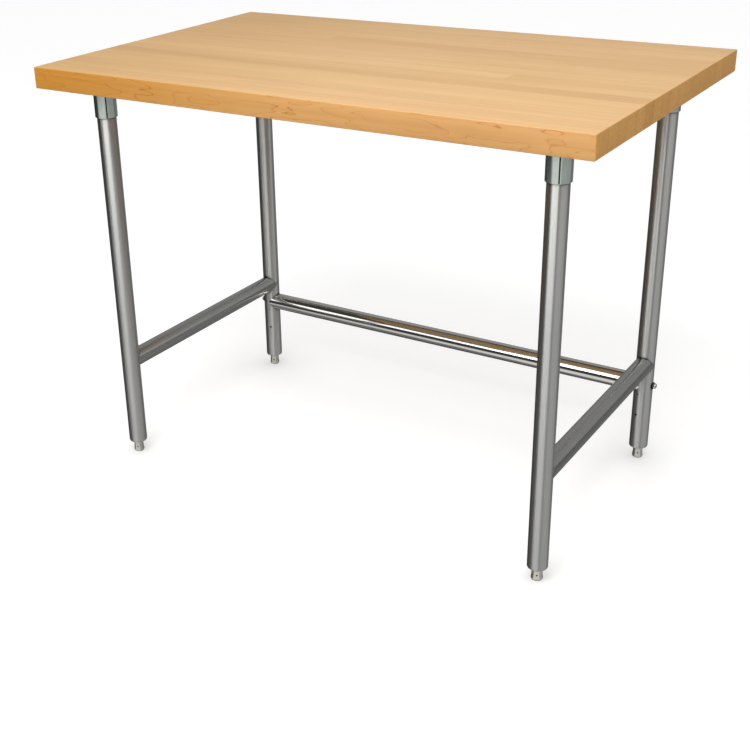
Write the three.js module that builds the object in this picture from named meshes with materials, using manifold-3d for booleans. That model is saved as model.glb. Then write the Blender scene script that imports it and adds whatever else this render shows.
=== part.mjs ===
// Butcher block work table: an edge-grain laminated top on a tubular steel base with levelling feet.
// Millimetres, +Z up. The origin is on the floor under the middle of the top; +X runs along the top's
// length, and -Y is the front. Every piece is a closed solid with a name of its own.
import * as THREE from 'three';
import { mergeVertices } from 'three/addons/utils/BufferGeometryUtils.js';
import Module from 'manifold-3d';

const wasm = await Module();
wasm.setup();

// ---- Driving dimensions -------------------------------------------------------------------------

const TABLE_LENGTH = 1219.2;
const TABLE_DEPTH = 762;
const TABLE_HEIGHT = 920.75;
const TOP_THICKNESS = 44.45;
const EDGE_EASE = 2;
const EASE_SEGMENTS = 3;
const GLUE_LINE = 0.1;
// Stave widths from the front edge to the back edge; together they are the table's depth.
const STAVE_WIDTHS = [
  52, 42.5, 42.5, 42.5, 42.5, 42.5, 42.5, 42.5, 42.5, 42.5, 45.5, 40, 40, 57, 55, 45, 45,
];

const LEG_INSET = 98.4;
const TUBE_OUTER_RADIUS = 20.65;
const TUBE_WALL = 1.65;
const LEG_BOTTOM = 31.5;

const SIDE_RAIL_HEIGHT = 236.5;
const REAR_RAIL_HEIGHT = 186;

const SOCKET_OUTER_RADIUS = 23.8;
const SOCKET_BOTTOM = 807;
const SOCKET_SLOT_WIDTH = 2.8;
const FLANGE_RADIUS = 47.5;
const FLANGE_THICKNESS = 3;
const BOSS_RADIUS = 8;
const BOSS_REACH = 28.5;

const SET_SCREW_RADIUS = 4;
const SET_SCREW_HEIGHT = 838;
const SET_SCREW_LENGTH = 11;
const SET_SCREW_SOCKET_ACROSS_FLATS = 4;
const SET_SCREW_SOCKET_DEPTH = 4;

const FLANGE_SCREWS_PER_SOCKET = 3;
const FLANGE_SCREW_CIRCLE_RADIUS = 36;
const FLANGE_SCREW_RADIUS = 2.3;
const FLANGE_SCREW_LENGTH = 26;
const FLANGE_SCREW_POINT = 5;
const FLANGE_SCREW_HEAD_RADIUS = 4.6;
const FLANGE_SCREW_HEAD_RIM = 1;
const FLANGE_SCREW_HEAD_HEIGHT = 2.6;

const BOLT_RADIUS = 4;
const BOLT_HEAD_RADIUS = 6.4;
const BOLT_HEAD_RIM = 2.6;
const BOLT_HEAD_HEIGHT = 6.6;
const BOLT_LENGTH = 70;
const WASHER_RADIUS = 8;
const WASHER_THICKNESS = 2;
const PLUG_LENGTH = 14;
const PLUG_SETBACK = 4;

// Unused holes in each rear leg: height, radius, and the way they face, in degrees from the front.
const SPARE_FRONT_HOLES = [
  { height: 166, radius: 1.9, turn: 14 },
  { height: 115, radius: 3, turn: 16 },
];
const SPARE_SIDE_HOLE = { height: 240, radius: 2.4 };

const HOUSING_LIP_RADIUS = 20;
const HOUSING_LIP_THICKNESS = 1.9;
const HOUSING_LIP_ROUND = 1.2;
const HOUSING_LENGTH = 36;

const FOOT_RADIUS = 10.75;
const FOOT_FLARE_RADIUS = 11.7;
const FOOT_FLARE_HEIGHT = 6;
const FOOT_FLARE_TOP = 14;
const FOOT_BOTTOM_ROUND = 4.5;
const FOOT_STUD_RADIUS = 7.9;
const FOOT_STUD_TOP = 72;
const FOOT_FLAT_OFFSET = 9.5;
const FOOT_FLAT_TOP = 24;
const FOOT_FLAT_TURN = -68;
const TOMMY_HOLE_RADIUS = 1.7;
const TOMMY_HOLE_HEIGHT = 13;

const GAP = 0.3;
const TUBE_SIDES = 32;
const SMALL_SIDES = 20;
const HOLE_SIDES = 12;
const HEXAGON = 6;
const ROUND_STEPS = 3;
const RIGHT_ANGLE = 90;
const HALF_TURN = 180;
const FULL_TURN = 360;
const OVERCUT = 20;
const WELD_DISTANCE = 1e-4;

// ---- Values worked out from them ----------------------------------------------------------------

const TOP_UNDERSIDE = TABLE_HEIGHT - TOP_THICKNESS;
const LEG_X = TABLE_LENGTH / 2 - LEG_INSET;
const LEG_Y = TABLE_DEPTH / 2 - LEG_INSET;
const TUBE_INNER_RADIUS = TUBE_OUTER_RADIUS - TUBE_WALL;
const FLANGE_TOP = TOP_UNDERSIDE - GAP;
const FLANGE_BOTTOM = FLANGE_TOP - FLANGE_THICKNESS;
const LEG_TOP = FLANGE_BOTTOM - GAP;
const HOUSING_LIP_TOP = LEG_BOTTOM - GAP;
const HOUSING_BOTTOM = HOUSING_LIP_TOP - HOUSING_LIP_THICKNESS;
const FOOT_SHOULDER = HOUSING_BOTTOM - GAP;
const COPE_RADIUS = TUBE_OUTER_RADIUS + GAP;

// Each corner's leg axis, and the way that its socket's slot faces, in degrees from +X.
const CORNERS = [
  { name: 'front_left', x: -LEG_X, y: -LEG_Y, slotTurn: -44 },
  { name: 'front_right', x: LEG_X, y: -LEG_Y, slotTurn: -66 },
  { name: 'rear_left', x: -LEG_X, y: LEG_Y, slotTurn: 136 },
  { name: 'rear_right', x: LEG_X, y: LEG_Y, slotTurn: 66 },
];

// ---- Materials ----------------------------------------------------------------------------------

const finish = (color, roughness, metalness) => ({ color, roughness, metalness });
const MAPLE_LIGHT = finish(0xe0bd8b, 0.5, 0);
const MAPLE_DARK = finish(0xd3a76c, 0.5, 0);
const STAINLESS = finish(0x9b9a95, 0.35, 1);
const POLISHED_STAINLESS = finish(0xa8a7a2, 0.22, 1);
const ZINC = finish(0x9fb0aa, 0.25, 1);
const CAST_ZINC = finish(0xb4b2a8, 0.45, 1);
const BLACK_NYLON = finish(0x141414, 0.6, 0);

// ---- Solids -------------------------------------------------------------------------------------

/** A closed three.js geometry as a manifold solid, with its seams welded and its faces outward. */
function solidOf(geometry, matrix = new THREE.Matrix4()) {
  const source = geometry.clone();
  source.deleteAttribute('normal');
  source.deleteAttribute('uv');
  const welded = mergeVertices(source, WELD_DISTANCE);
  welded.applyMatrix4(matrix);
  const triangles = Array.from(welded.index.array);
  const points = welded.attributes.position;
  if (signedVolume(points, triangles) < 0) {
    triangles.reverse();
  }
  const mesh = new wasm.Mesh({
    numProp: 3,
    vertProperties: new Float32Array(points.array),
    triVerts: new Uint32Array(triangles),
  });
  mesh.merge();
  return new wasm.Manifold(mesh);
}

/** Six times the volume that the triangles enclose, negative where they face inwards. */
function signedVolume(points, triangles) {
  const corner = [new THREE.Vector3(), new THREE.Vector3(), new THREE.Vector3()];
  let sum = 0;
  for (let first = 0; first < triangles.length; first += 3) {
    corner.forEach((vector, step) => vector.fromBufferAttribute(points, triangles[first + step]));
    sum += corner[0].dot(corner[1].clone().cross(corner[2]));
  }
  return sum;
}

/** A manifold solid as a three.js geometry. */
function geometryOf(solid) {
  const mesh = solid.getMesh();
  const geometry = new THREE.BufferGeometry();
  geometry.setAttribute('position', new THREE.BufferAttribute(mesh.vertProperties, 3));
  geometry.setIndex(new THREE.BufferAttribute(mesh.triVerts, 1));
  geometry.computeVertexNormals();
  return geometry;
}

/** A matrix that moves to a point. */
function placed(x, y, z) {
  return new THREE.Matrix4().makeTranslation(x, y, z);
}

/** A solid turned about Z: its profile is [radius, height] pairs, from the axis back to the axis. */
function turned(profile, sides) {
  const points = profile.map(([radius, height]) => new THREE.Vector2(radius, height));
  const geometry = new THREE.LatheGeometry(points, sides);
  geometry.rotateX(Math.PI / 2);
  return solidOf(geometry);
}

/** Profile points of a dome, from its rim up or down to its crown on the axis. */
function dome(radius, rim, crown) {
  const points = [];
  for (let step = 0; step <= ROUND_STEPS; step += 1) {
    const angle = (step / ROUND_STEPS) * (Math.PI / 2);
    points.push([radius * Math.cos(angle), rim + (crown - rim) * Math.sin(angle)]);
  }
  points[ROUND_STEPS][0] = 0;
  return points;
}

/** A straight tube about Z with open ends. */
function tube(outerRadius, innerRadius, bottom, top) {
  return turned([
    [innerRadius, bottom], [outerRadius, bottom], [outerRadius, top], [innerRadius, top],
    [innerRadius, bottom],
  ], TUBE_SIDES);
}

/** A plain round bar about Z. */
function bar(radius, bottom, top, sides) {
  return turned([[0, bottom], [radius, bottom], [radius, top], [0, top]], sides);
}

/** A box between two corners. */
function block(low, high) {
  const size = high.map((value, axis) => value - low[axis]);
  const middle = high.map((value, axis) => (value + low[axis]) / 2);
  return solidOf(new THREE.BoxGeometry(...size), placed(...middle));
}

/** A solid about Z laid down to point from a leg or rail axis in a level direction. */
function levelled(solid, degrees) {
  return solid.rotate([0, RIGHT_ANGLE, 0]).rotate([0, 0, degrees]);
}

/** A hole cutter from the axis outwards, in the level direction given. */
function radialCutter(radius, reach, height, degrees) {
  return levelled(bar(radius, 0, reach, HOLE_SIDES), degrees).translate([0, 0, height]);
}

// ---- The top ------------------------------------------------------------------------------------

/** The whole top with its eased edges, before it is split into staves. */
function topSlab() {
  const x = TABLE_LENGTH / 2 - EDGE_EASE;
  const y = TABLE_DEPTH / 2 - EDGE_EASE;
  const outline = new THREE.Shape();
  outline.moveTo(-x, -y);
  outline.lineTo(x, -y);
  outline.lineTo(x, y);
  outline.lineTo(-x, y);
  outline.closePath();
  const slab = new THREE.ExtrudeGeometry(outline, {
    depth: TOP_THICKNESS - 2 * EDGE_EASE,
    bevelEnabled: true,
    bevelSize: EDGE_EASE,
    bevelThickness: EDGE_EASE,
    bevelSegments: EASE_SEGMENTS,
  });
  return solidOf(slab, placed(0, 0, TOP_UNDERSIDE + EDGE_EASE));
}

/** Where the flange screws of every socket stand. */
function flangeScrewPlaces() {
  const places = [];
  for (const corner of CORNERS) {
    for (let index = 0; index < FLANGE_SCREWS_PER_SOCKET; index += 1) {
      const step = (index + 0.5) * (FULL_TURN / FLANGE_SCREWS_PER_SOCKET);
      const angle = THREE.MathUtils.degToRad(corner.slotTurn + step);
      places.push({
        name: `${corner.name}_${index + 1}`,
        x: corner.x + FLANGE_SCREW_CIRCLE_RADIUS * Math.cos(angle),
        y: corner.y + FLANGE_SCREW_CIRCLE_RADIUS * Math.sin(angle),
      });
    }
  }
  return places;
}

/** The staves, split from the slab and drilled for the flange screws. */
function staves() {
  const slab = topSlab();
  const pilotTop = FLANGE_BOTTOM + FLANGE_SCREW_LENGTH + GAP;
  const pilots = flangeScrewPlaces().map(({ x, y }) =>
    bar(FLANGE_SCREW_RADIUS + GAP, FLANGE_BOTTOM, pilotTop, HOLE_SIDES).translate([x, y, 0]));
  const reach = TABLE_LENGTH / 2 + OVERCUT;
  const pieces = [];
  let front = -TABLE_DEPTH / 2;
  STAVE_WIDTHS.forEach((width, index) => {
    const back = front + width;
    const low = index === 0 ? front - OVERCUT : front + GLUE_LINE / 2;
    const high = index === STAVE_WIDTHS.length - 1 ? back + OVERCUT : back - GLUE_LINE / 2;
    const cell = block([-reach, low, TOP_UNDERSIDE - OVERCUT], [reach, high, TABLE_HEIGHT + OVERCUT]);
    const stave = slab.intersect(cell).subtract(wasm.Manifold.union(pilots));
    pieces.push({
      name: `stave_${String(index + 1).padStart(2, '0')}`,
      solid: stave,
      material: index % 2 === 0 ? MAPLE_LIGHT : MAPLE_DARK,
    });
    front = back;
  });
  return pieces;
}

// ---- Legs, sockets and rails --------------------------------------------------------------------

/** A leg tube; the rear ones are drilled for the rail bolt and have unused holes. */
function leg(corner) {
  let solid = tube(TUBE_OUTER_RADIUS, TUBE_INNER_RADIUS, LEG_BOTTOM, LEG_TOP);
  if (corner.y > 0) {
    const inward = corner.x < 0 ? 0 : HALF_TURN;
    const side = Math.sign(-corner.x);
    const reach = TUBE_OUTER_RADIUS + OVERCUT;
    const cutters = [
      radialCutter(BOLT_RADIUS + 2 * GAP, reach, REAR_RAIL_HEIGHT, inward),
      radialCutter(BOLT_RADIUS + 2 * GAP, reach, REAR_RAIL_HEIGHT, inward + HALF_TURN),
      radialCutter(SPARE_SIDE_HOLE.radius, reach, SPARE_SIDE_HOLE.height, inward),
      ...SPARE_FRONT_HOLES.map(({ height, radius, turn }) =>
        radialCutter(radius, reach, height, side * turn - RIGHT_ANGLE)),
    ];
    solid = solid.subtract(wasm.Manifold.union(cutters));
  }
  return solid.translate([corner.x, corner.y, 0]);
}

/** A split leg socket: a collar under a round flange, with a tapped boss opposite the slot. */
function legSocket(corner) {
  const bore = TUBE_OUTER_RADIUS + GAP;
  const collar = turned([
    [0, FLANGE_BOTTOM], [bore, FLANGE_BOTTOM], [bore, SOCKET_BOTTOM],
    [SOCKET_OUTER_RADIUS, SOCKET_BOTTOM], [SOCKET_OUTER_RADIUS, FLANGE_BOTTOM],
    [FLANGE_RADIUS, FLANGE_BOTTOM], [FLANGE_RADIUS, FLANGE_TOP], [0, FLANGE_TOP],
  ], TUBE_SIDES);
  const boss = levelled(bar(BOSS_RADIUS, bore + TUBE_WALL, BOSS_REACH, SMALL_SIDES), HALF_TURN);
  const slot = block(
    [bore / 2, -SOCKET_SLOT_WIDTH / 2, SOCKET_BOTTOM - OVERCUT],
    [SOCKET_OUTER_RADIUS + GAP, SOCKET_SLOT_WIDTH / 2, FLANGE_BOTTOM],
  );
  const screwHoles = [];
  for (let index = 0; index < FLANGE_SCREWS_PER_SOCKET; index += 1) {
    const angle = (index + 0.5) * (FULL_TURN / FLANGE_SCREWS_PER_SOCKET);
    const hole = bar(FLANGE_SCREW_RADIUS + GAP, FLANGE_BOTTOM - GAP, FLANGE_TOP + GAP, HOLE_SIDES);
    screwHoles.push(hole.translate([FLANGE_SCREW_CIRCLE_RADIUS, 0, 0]).rotate([0, 0, angle]));
  }
  const tapping = radialCutter(SET_SCREW_RADIUS + GAP, BOSS_REACH + OVERCUT, SET_SCREW_HEIGHT, HALF_TURN);
  return collar
    .add(boss.translate([0, 0, SET_SCREW_HEIGHT]))
    .subtract(slot)
    .subtract(tapping)
    .subtract(wasm.Manifold.union(screwHoles))
    .rotate([0, 0, corner.slotTurn])
    .translate([corner.x, corner.y, 0]);
}

/** A set screw with a hexagon socket, bearing on the leg through the socket's boss. */
function setScrew(corner) {
  const tip = TUBE_OUTER_RADIUS + GAP;
  const end = tip + SET_SCREW_LENGTH;
  const socketRadius = SET_SCREW_SOCKET_ACROSS_FLATS / Math.sqrt(3);
  const body = bar(SET_SCREW_RADIUS, tip, end, SMALL_SIDES);
  const recess = bar(socketRadius, end - SET_SCREW_SOCKET_DEPTH, end + OVERCUT, HEXAGON);
  return levelled(body.subtract(recess), corner.slotTurn + HALF_TURN)
    .translate([corner.x, corner.y, SET_SCREW_HEIGHT]);
}

/** A pan head screw, from the flange up into the staves. */
function flangeScrew({ x, y }) {
  const headTop = FLANGE_BOTTOM - GAP;
  const headBottom = headTop - FLANGE_SCREW_HEAD_HEIGHT;
  const tip = FLANGE_BOTTOM + FLANGE_SCREW_LENGTH;
  const head = dome(FLANGE_SCREW_HEAD_RADIUS, headTop - FLANGE_SCREW_HEAD_RIM, headBottom).reverse();
  return turned([
    ...head, [FLANGE_SCREW_HEAD_RADIUS, headTop], [FLANGE_SCREW_RADIUS, headTop],
    [FLANGE_SCREW_RADIUS, tip - FLANGE_SCREW_POINT], [0, tip],
  ], HOLE_SIDES).translate([x, y, 0]);
}

/** A side rail, saddled over the front and rear legs. */
function sideRail(side) {
  const rail = tube(TUBE_OUTER_RADIUS, TUBE_INNER_RADIUS, -LEG_Y, LEG_Y)
    .rotate([-RIGHT_ANGLE, 0, 0])
    .translate([0, 0, SIDE_RAIL_HEIGHT]);
  const saddle = bar(COPE_RADIUS, 0, TABLE_HEIGHT, TUBE_SIDES);
  return rail
    .subtract(saddle.translate([0, -LEG_Y, 0]))
    .subtract(saddle.translate([0, LEG_Y, 0]))
    .translate([side * LEG_X, 0, 0]);
}

/** The rear rail, saddled over both rear legs. */
function rearRail() {
  const rail = tube(TUBE_OUTER_RADIUS, TUBE_INNER_RADIUS, -LEG_X, LEG_X)
    .rotate([0, RIGHT_ANGLE, 0])
    .translate([0, 0, REAR_RAIL_HEIGHT]);
  const saddle = bar(COPE_RADIUS, 0, TABLE_HEIGHT, TUBE_SIDES);
  return rail
    .subtract(saddle.translate([-LEG_X, 0, 0]))
    .subtract(saddle.translate([LEG_X, 0, 0]))
    .translate([0, LEG_Y, 0]);
}

/** A turned piece that lies along the rear rail's axis, measured outwards from a rear leg's axis. */
function onRailAxis(side, solid) {
  return levelled(solid, side > 0 ? 0 : HALF_TURN).translate([side * LEG_X, LEG_Y, REAR_RAIL_HEIGHT]);
}

/** The rail bolt: a domed head outside the leg, and a shank through the leg into the rail's plug. */
function railBolt(side) {
  const seat = TUBE_OUTER_RADIUS + GAP + WASHER_THICKNESS + GAP;
  return onRailAxis(side, turned([
    [0, seat - BOLT_LENGTH], [BOLT_RADIUS, seat - BOLT_LENGTH], [BOLT_RADIUS, seat],
    [BOLT_HEAD_RADIUS, seat], ...dome(BOLT_HEAD_RADIUS, seat + BOLT_HEAD_RIM, seat + BOLT_HEAD_HEIGHT),
  ], SMALL_SIDES));
}

/** The washer between the bolt's head and the leg. */
function boltWasher(side) {
  const seat = TUBE_OUTER_RADIUS + GAP;
  const bore = BOLT_RADIUS + GAP;
  return onRailAxis(side, turned([
    [bore, seat], [WASHER_RADIUS, seat], [WASHER_RADIUS, seat + WASHER_THICKNESS],
    [bore, seat + WASHER_THICKNESS], [bore, seat],
  ], SMALL_SIDES));
}

/** The threaded plug pressed into an end of the rear rail. */
function railPlug(side) {
  const end = -COPE_RADIUS - PLUG_SETBACK;
  const bore = BOLT_RADIUS + GAP;
  const outer = TUBE_INNER_RADIUS - GAP;
  return onRailAxis(side, turned([
    [bore, end - PLUG_LENGTH], [outer, end - PLUG_LENGTH], [outer, end], [bore, end],
    [bore, end - PLUG_LENGTH],
  ], SMALL_SIDES));
}

// ---- Feet ---------------------------------------------------------------------------------------

/** The housing pressed into a leg's end: a rounded lip under the tube and a threaded sleeve in it. */
function footHousing(corner) {
  const bore = FOOT_STUD_RADIUS + GAP;
  const sleeve = TUBE_INNER_RADIUS - GAP;
  return turned([
    [bore, HOUSING_BOTTOM], [HOUSING_LIP_RADIUS - HOUSING_LIP_ROUND, HOUSING_BOTTOM],
    [HOUSING_LIP_RADIUS, HOUSING_BOTTOM + HOUSING_LIP_ROUND], [HOUSING_LIP_RADIUS, HOUSING_LIP_TOP],
    [sleeve, HOUSING_LIP_TOP], [sleeve, HOUSING_LIP_TOP + HOUSING_LENGTH],
    [bore, HOUSING_LIP_TOP + HOUSING_LENGTH], [bore, HOUSING_BOTTOM],
  ], TUBE_SIDES).translate([corner.x, corner.y, 0]);
}

/** A levelling foot: a flared body with two wrench flats and a tommy bar hole, under a stud. */
function levellingFoot(corner) {
  const floorRadius = FOOT_FLARE_RADIUS - FOOT_BOTTOM_ROUND;
  const round = dome(FOOT_BOTTOM_ROUND, FOOT_BOTTOM_ROUND, 0)
    .reverse()
    .map(([radius, height]) => [floorRadius + radius, height]);
  const profile = [
    [0, 0], ...round,
    [FOOT_FLARE_RADIUS, FOOT_FLARE_HEIGHT], [FOOT_RADIUS, FOOT_FLARE_TOP], [FOOT_RADIUS, FOOT_SHOULDER],
    [FOOT_STUD_RADIUS, FOOT_SHOULDER], [FOOT_STUD_RADIUS, FOOT_STUD_TOP], [0, FOOT_STUD_TOP],
  ];
  const flat = block(
    [FOOT_FLAT_OFFSET, -FOOT_FLARE_RADIUS, -OVERCUT],
    [FOOT_FLAT_OFFSET + OVERCUT, FOOT_FLARE_RADIUS, FOOT_FLAT_TOP],
  );
  const tommyHole = levelled(bar(TOMMY_HOLE_RADIUS, -OVERCUT, OVERCUT, HOLE_SIDES), 0)
    .translate([0, 0, TOMMY_HOLE_HEIGHT]);
  return turned(profile, SMALL_SIDES)
    .subtract(flat)
    .subtract(flat.rotate([0, 0, HALF_TURN]))
    .subtract(tommyHole)
    .rotate([0, 0, FOOT_FLAT_TURN])
    .translate([corner.x, corner.y, 0]);
}

// ---- Assembly -----------------------------------------------------------------------------------

const SIDES = [{ name: 'left', side: -1 }, { name: 'right', side: 1 }];

const pieces = [
  ...staves(),
  ...CORNERS.flatMap((corner) => [
    { name: `leg_${corner.name}`, solid: leg(corner), material: STAINLESS },
    { name: `leg_socket_${corner.name}`, solid: legSocket(corner), material: ZINC },
    { name: `set_screw_${corner.name}`, solid: setScrew(corner), material: ZINC },
    { name: `foot_housing_${corner.name}`, solid: footHousing(corner), material: CAST_ZINC },
    { name: `levelling_foot_${corner.name}`, solid: levellingFoot(corner), material: CAST_ZINC },
  ]),
  ...flangeScrewPlaces().map((place) => (
    { name: `flange_screw_${place.name}`, solid: flangeScrew(place), material: ZINC })),
  ...SIDES.flatMap(({ name, side }) => [
    { name: `side_rail_${name}`, solid: sideRail(side), material: STAINLESS },
    { name: `rail_plug_${name}`, solid: railPlug(side), material: ZINC },
    { name: `rail_bolt_${name}`, solid: railBolt(side), material: ZINC },
    { name: `bolt_washer_${name}`, solid: boltWasher(side), material: BLACK_NYLON },
  ]),
  { name: 'rear_rail', solid: rearRail(), material: POLISHED_STAINLESS },
];

const table = new THREE.Group();
table.name = 'butcher_block_table';
for (const { name, solid, material } of pieces) {
  const mesh = new THREE.Mesh(geometryOf(solid), new THREE.MeshStandardMaterial(material));
  mesh.name = name;
  table.add(mesh);
}

export default table;
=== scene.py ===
"""Finished look of a butcher block work table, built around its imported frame.

The table is an edge-grain maple top on a base of stainless tube. Everything is in metres, +Z up, with the
origin on the floor under the middle of the top: +X runs along the top and -Y is its front.
"""

import logging
import math
from dataclasses import dataclass
from enum import Enum
from typing import Callable, Iterable, Sequence

import bmesh
import bpy
from mathutils import Matrix, Vector


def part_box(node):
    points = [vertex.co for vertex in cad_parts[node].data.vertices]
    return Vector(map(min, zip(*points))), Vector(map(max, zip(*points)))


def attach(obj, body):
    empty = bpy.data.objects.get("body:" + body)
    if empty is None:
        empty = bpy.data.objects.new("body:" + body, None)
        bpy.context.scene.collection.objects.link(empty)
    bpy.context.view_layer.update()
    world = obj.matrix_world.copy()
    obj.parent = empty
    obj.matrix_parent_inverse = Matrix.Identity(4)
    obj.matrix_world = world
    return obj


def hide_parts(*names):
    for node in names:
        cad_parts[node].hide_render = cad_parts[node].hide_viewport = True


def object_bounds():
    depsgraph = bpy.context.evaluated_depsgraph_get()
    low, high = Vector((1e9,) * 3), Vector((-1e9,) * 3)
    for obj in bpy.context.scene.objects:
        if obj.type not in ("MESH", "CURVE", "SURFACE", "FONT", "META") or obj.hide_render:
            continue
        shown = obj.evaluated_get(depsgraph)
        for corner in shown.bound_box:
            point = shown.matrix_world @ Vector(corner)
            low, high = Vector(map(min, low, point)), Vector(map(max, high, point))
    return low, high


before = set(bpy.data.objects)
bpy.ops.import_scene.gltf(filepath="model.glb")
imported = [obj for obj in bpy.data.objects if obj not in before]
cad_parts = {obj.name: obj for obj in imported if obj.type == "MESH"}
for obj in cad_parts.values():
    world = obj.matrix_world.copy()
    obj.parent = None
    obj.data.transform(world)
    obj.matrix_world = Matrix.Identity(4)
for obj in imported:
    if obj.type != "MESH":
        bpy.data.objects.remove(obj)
CAD_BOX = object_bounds()

log = logging.getLogger("butcher_block_table")

Shape = bmesh.types.BMesh
Socket = bpy.types.NodeSocket
Material = bpy.types.Material
Colour = tuple[float, float, float, float]
Profile = Sequence[tuple[float, float]]

# A stretch is a factor along X, Y and Z. A ramp is where a smooth step starts and where it ends, followed by
# its values at the start and the end where they are not 0 and 1.
Stretch = tuple[float, float, float]
Ramp = tuple[float, ...]

MM = 0.001
FULL_TURN = math.tau
HALF_TURN = math.pi
QUARTER_TURN = math.pi / 2
MERGE_DISTANCE = 0.002 * MM
SHARP_ANGLE = math.radians(32)
EASE_ANGLE = math.radians(25)
CLEARANCE = 0.3 * MM
OVERCUT = 4 * MM
TUBE_WALL = 1.65 * MM
ROUND_PROFILE = 0.5
FEWEST_STEPS = 3
SMOOTH_SIDES = 96
SMALL_SIDES = 48
HOLE_SIDES = 24
HEXAGON = 6
WHITE: Colour = (1.0, 1.0, 1.0, 1.0)
# Near-black colour of the painted shade laid into crevices.
CREVICE_SHADE_COLOUR: Colour = (0.012, 0.012, 0.012, 1.0)
NO_BUTT = 9.0


class Slot(Enum):
    """The record's material slots."""

    MAPLE = "maple"
    BRUSHED_STAINLESS = "brushed_stainless"
    POLISHED_STAINLESS = "polished_stainless"
    ZINC_PLATE = "zinc_plate"
    CAST_ZINC = "cast_zinc"
    FOOT_STEEL = "foot_steel"
    BOLT_STEEL = "bolt_steel"
    BLACK_NYLON = "black_nylon"


class Corner(Enum):
    """The table's four corners, as the frame names them."""

    FRONT_LEFT = "front_left"
    FRONT_RIGHT = "front_right"
    REAR_LEFT = "rear_left"
    REAR_RIGHT = "rear_right"

    @property
    def is_rear(self) -> bool:
        """True at the back of the table."""
        return self in (Corner.REAR_LEFT, Corner.REAR_RIGHT)

    @property
    def side(self) -> int:
        """-1 at the left end and 1 at the right end."""
        return -1 if self in (Corner.FRONT_LEFT, Corner.REAR_LEFT) else 1


class TubeAxis(Enum):
    """The way a tube runs."""

    ALONG_X = 0
    ALONG_Y = 1
    ALONG_Z = 2


# ---- Measuring the frame ------------------------------------------------------------------------


@dataclass(frozen=True)
class Span:
    """The box of one frame node."""

    low: Vector
    high: Vector

    @classmethod
    def of(cls, node: str) -> "Span":
        """The box of a node by its name."""
        low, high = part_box(node)
        return cls(low, high)

    @property
    def middle(self) -> Vector:
        """The box's middle point."""
        return (self.low + self.high) / 2

    @property
    def size(self) -> Vector:
        """The box's size along each axis."""
        return self.high - self.low


# ---- Shaping ------------------------------------------------------------------------------------


def lathe(profile: Profile, sides: int, turn: float = FULL_TURN) -> Shape:
    """Spins a closed outline about Z.

    Args:
        profile: The outline's (radius, height) corners in order; the last one joins the first.
        sides: The number of flats in a full turn.
        turn: The angle spun through; less than a full turn leaves two flat ends.

    Returns:
        A closed shape with its faces outward.
    """
    shape = bmesh.new()
    corners = [shape.verts.new((radius, 0, height)) for radius, height in profile]
    whole = math.isclose(turn, FULL_TURN)
    if whole:
        outline = [shape.edges.new((first, second)) for first, second in zip(corners, corners[1:])]
        on_axis = profile[0][0] < MERGE_DISTANCE and profile[-1][0] < MERGE_DISTANCE
        if not on_axis:
            outline.append(shape.edges.new((corners[-1], corners[0])))
        section = corners + outline
    else:
        section = [shape.faces.new(corners)]
        section += list(section[0].verts) + list(section[0].edges)
    bmesh.ops.spin(
        shape, geom=section, cent=(0, 0, 0), axis=(0, 0, 1), dvec=(0, 0, 0), angle=turn,
        space=Matrix.Identity(4), steps=max(FEWEST_STEPS, round(sides * turn / FULL_TURN)), use_merge=whole,
    )
    return closed(shape)


def closed(shape: Shape) -> Shape:
    """Merges a shape's doubles and turns its faces outward.

    Args:
        shape: The shape to clean.

    Returns:
        The same shape.
    """
    bmesh.ops.remove_doubles(shape, verts=shape.verts, dist=MERGE_DISTANCE)
    bmesh.ops.dissolve_degenerate(shape, edges=shape.edges, dist=MERGE_DISTANCE)
    bmesh.ops.recalc_face_normals(shape, faces=shape.faces)
    return shape


def eased(shape: Shape, width: float, segments: int = 3,
          wanted: Callable[[bmesh.types.BMEdge], bool] | None = None) -> Shape:
    """Rounds a shape's sharp edges.

    Args:
        shape: The shape to work on.
        width: How far the rounding reaches from each edge.
        segments: The number of steps in the rounding.
        wanted: A test of an edge, where only some of the sharp edges are rounded.

    Returns:
        The same shape.
    """
    sharp = [
        edge for edge in shape.edges
        if edge.is_manifold and edge.calc_face_angle(0) > EASE_ANGLE and (wanted is None or wanted(edge))
    ]
    bmesh.ops.bevel(
        shape, geom=sharp, offset=width, offset_type="OFFSET", segments=segments, profile=ROUND_PROFILE,
        affect="EDGES", material=-1, clamp_overlap=True,
    )
    return closed(shape)


def moved(shape: Shape, matrix: Matrix) -> Shape:
    """Places a shape by a matrix."""
    bmesh.ops.transform(shape, matrix=matrix, verts=shape.verts, space=Matrix.Identity(4))
    return shape


def bar(radius: float, bottom: float, top: float, sides: int) -> Shape:
    """A round bar about Z with its ends capped.

    Args:
        radius: The bar's radius.
        bottom: The height of its lower end.
        top: The height of its upper end.
        sides: The number of flats round it.

    Returns:
        The bar.
    """
    shape = bmesh.new()
    bmesh.ops.create_cone(
        shape, cap_ends=True, segments=sides, radius1=radius, radius2=radius, depth=top - bottom,
        matrix=Matrix.Translation((0, 0, (bottom + top) / 2)),
    )
    return closed(shape)


def block(low: Sequence[float], high: Sequence[float]) -> Shape:
    """A box between two corners.

    Args:
        low: Its lowest X, Y and Z.
        high: Its highest X, Y and Z.

    Returns:
        The box.
    """
    size = [top - bottom for bottom, top in zip(low, high)]
    middle = [(top + bottom) / 2 for bottom, top in zip(low, high)]
    shape = bmesh.new()
    bmesh.ops.create_cube(shape, size=1, matrix=Matrix.Translation(middle) @ Matrix.Diagonal((*size, 1)))
    return closed(shape)


def arc(centre: tuple[float, float], radius: float, start: float, end: float,
        steps: int) -> list[tuple[float, float]]:
    """Outline corners along an arc, from one angle to another, both included."""
    angles = [start + (end - start) * step / steps for step in range(steps + 1)]
    return [(centre[0] + radius * math.cos(a), centre[1] + radius * math.sin(a)) for a in angles]


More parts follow.
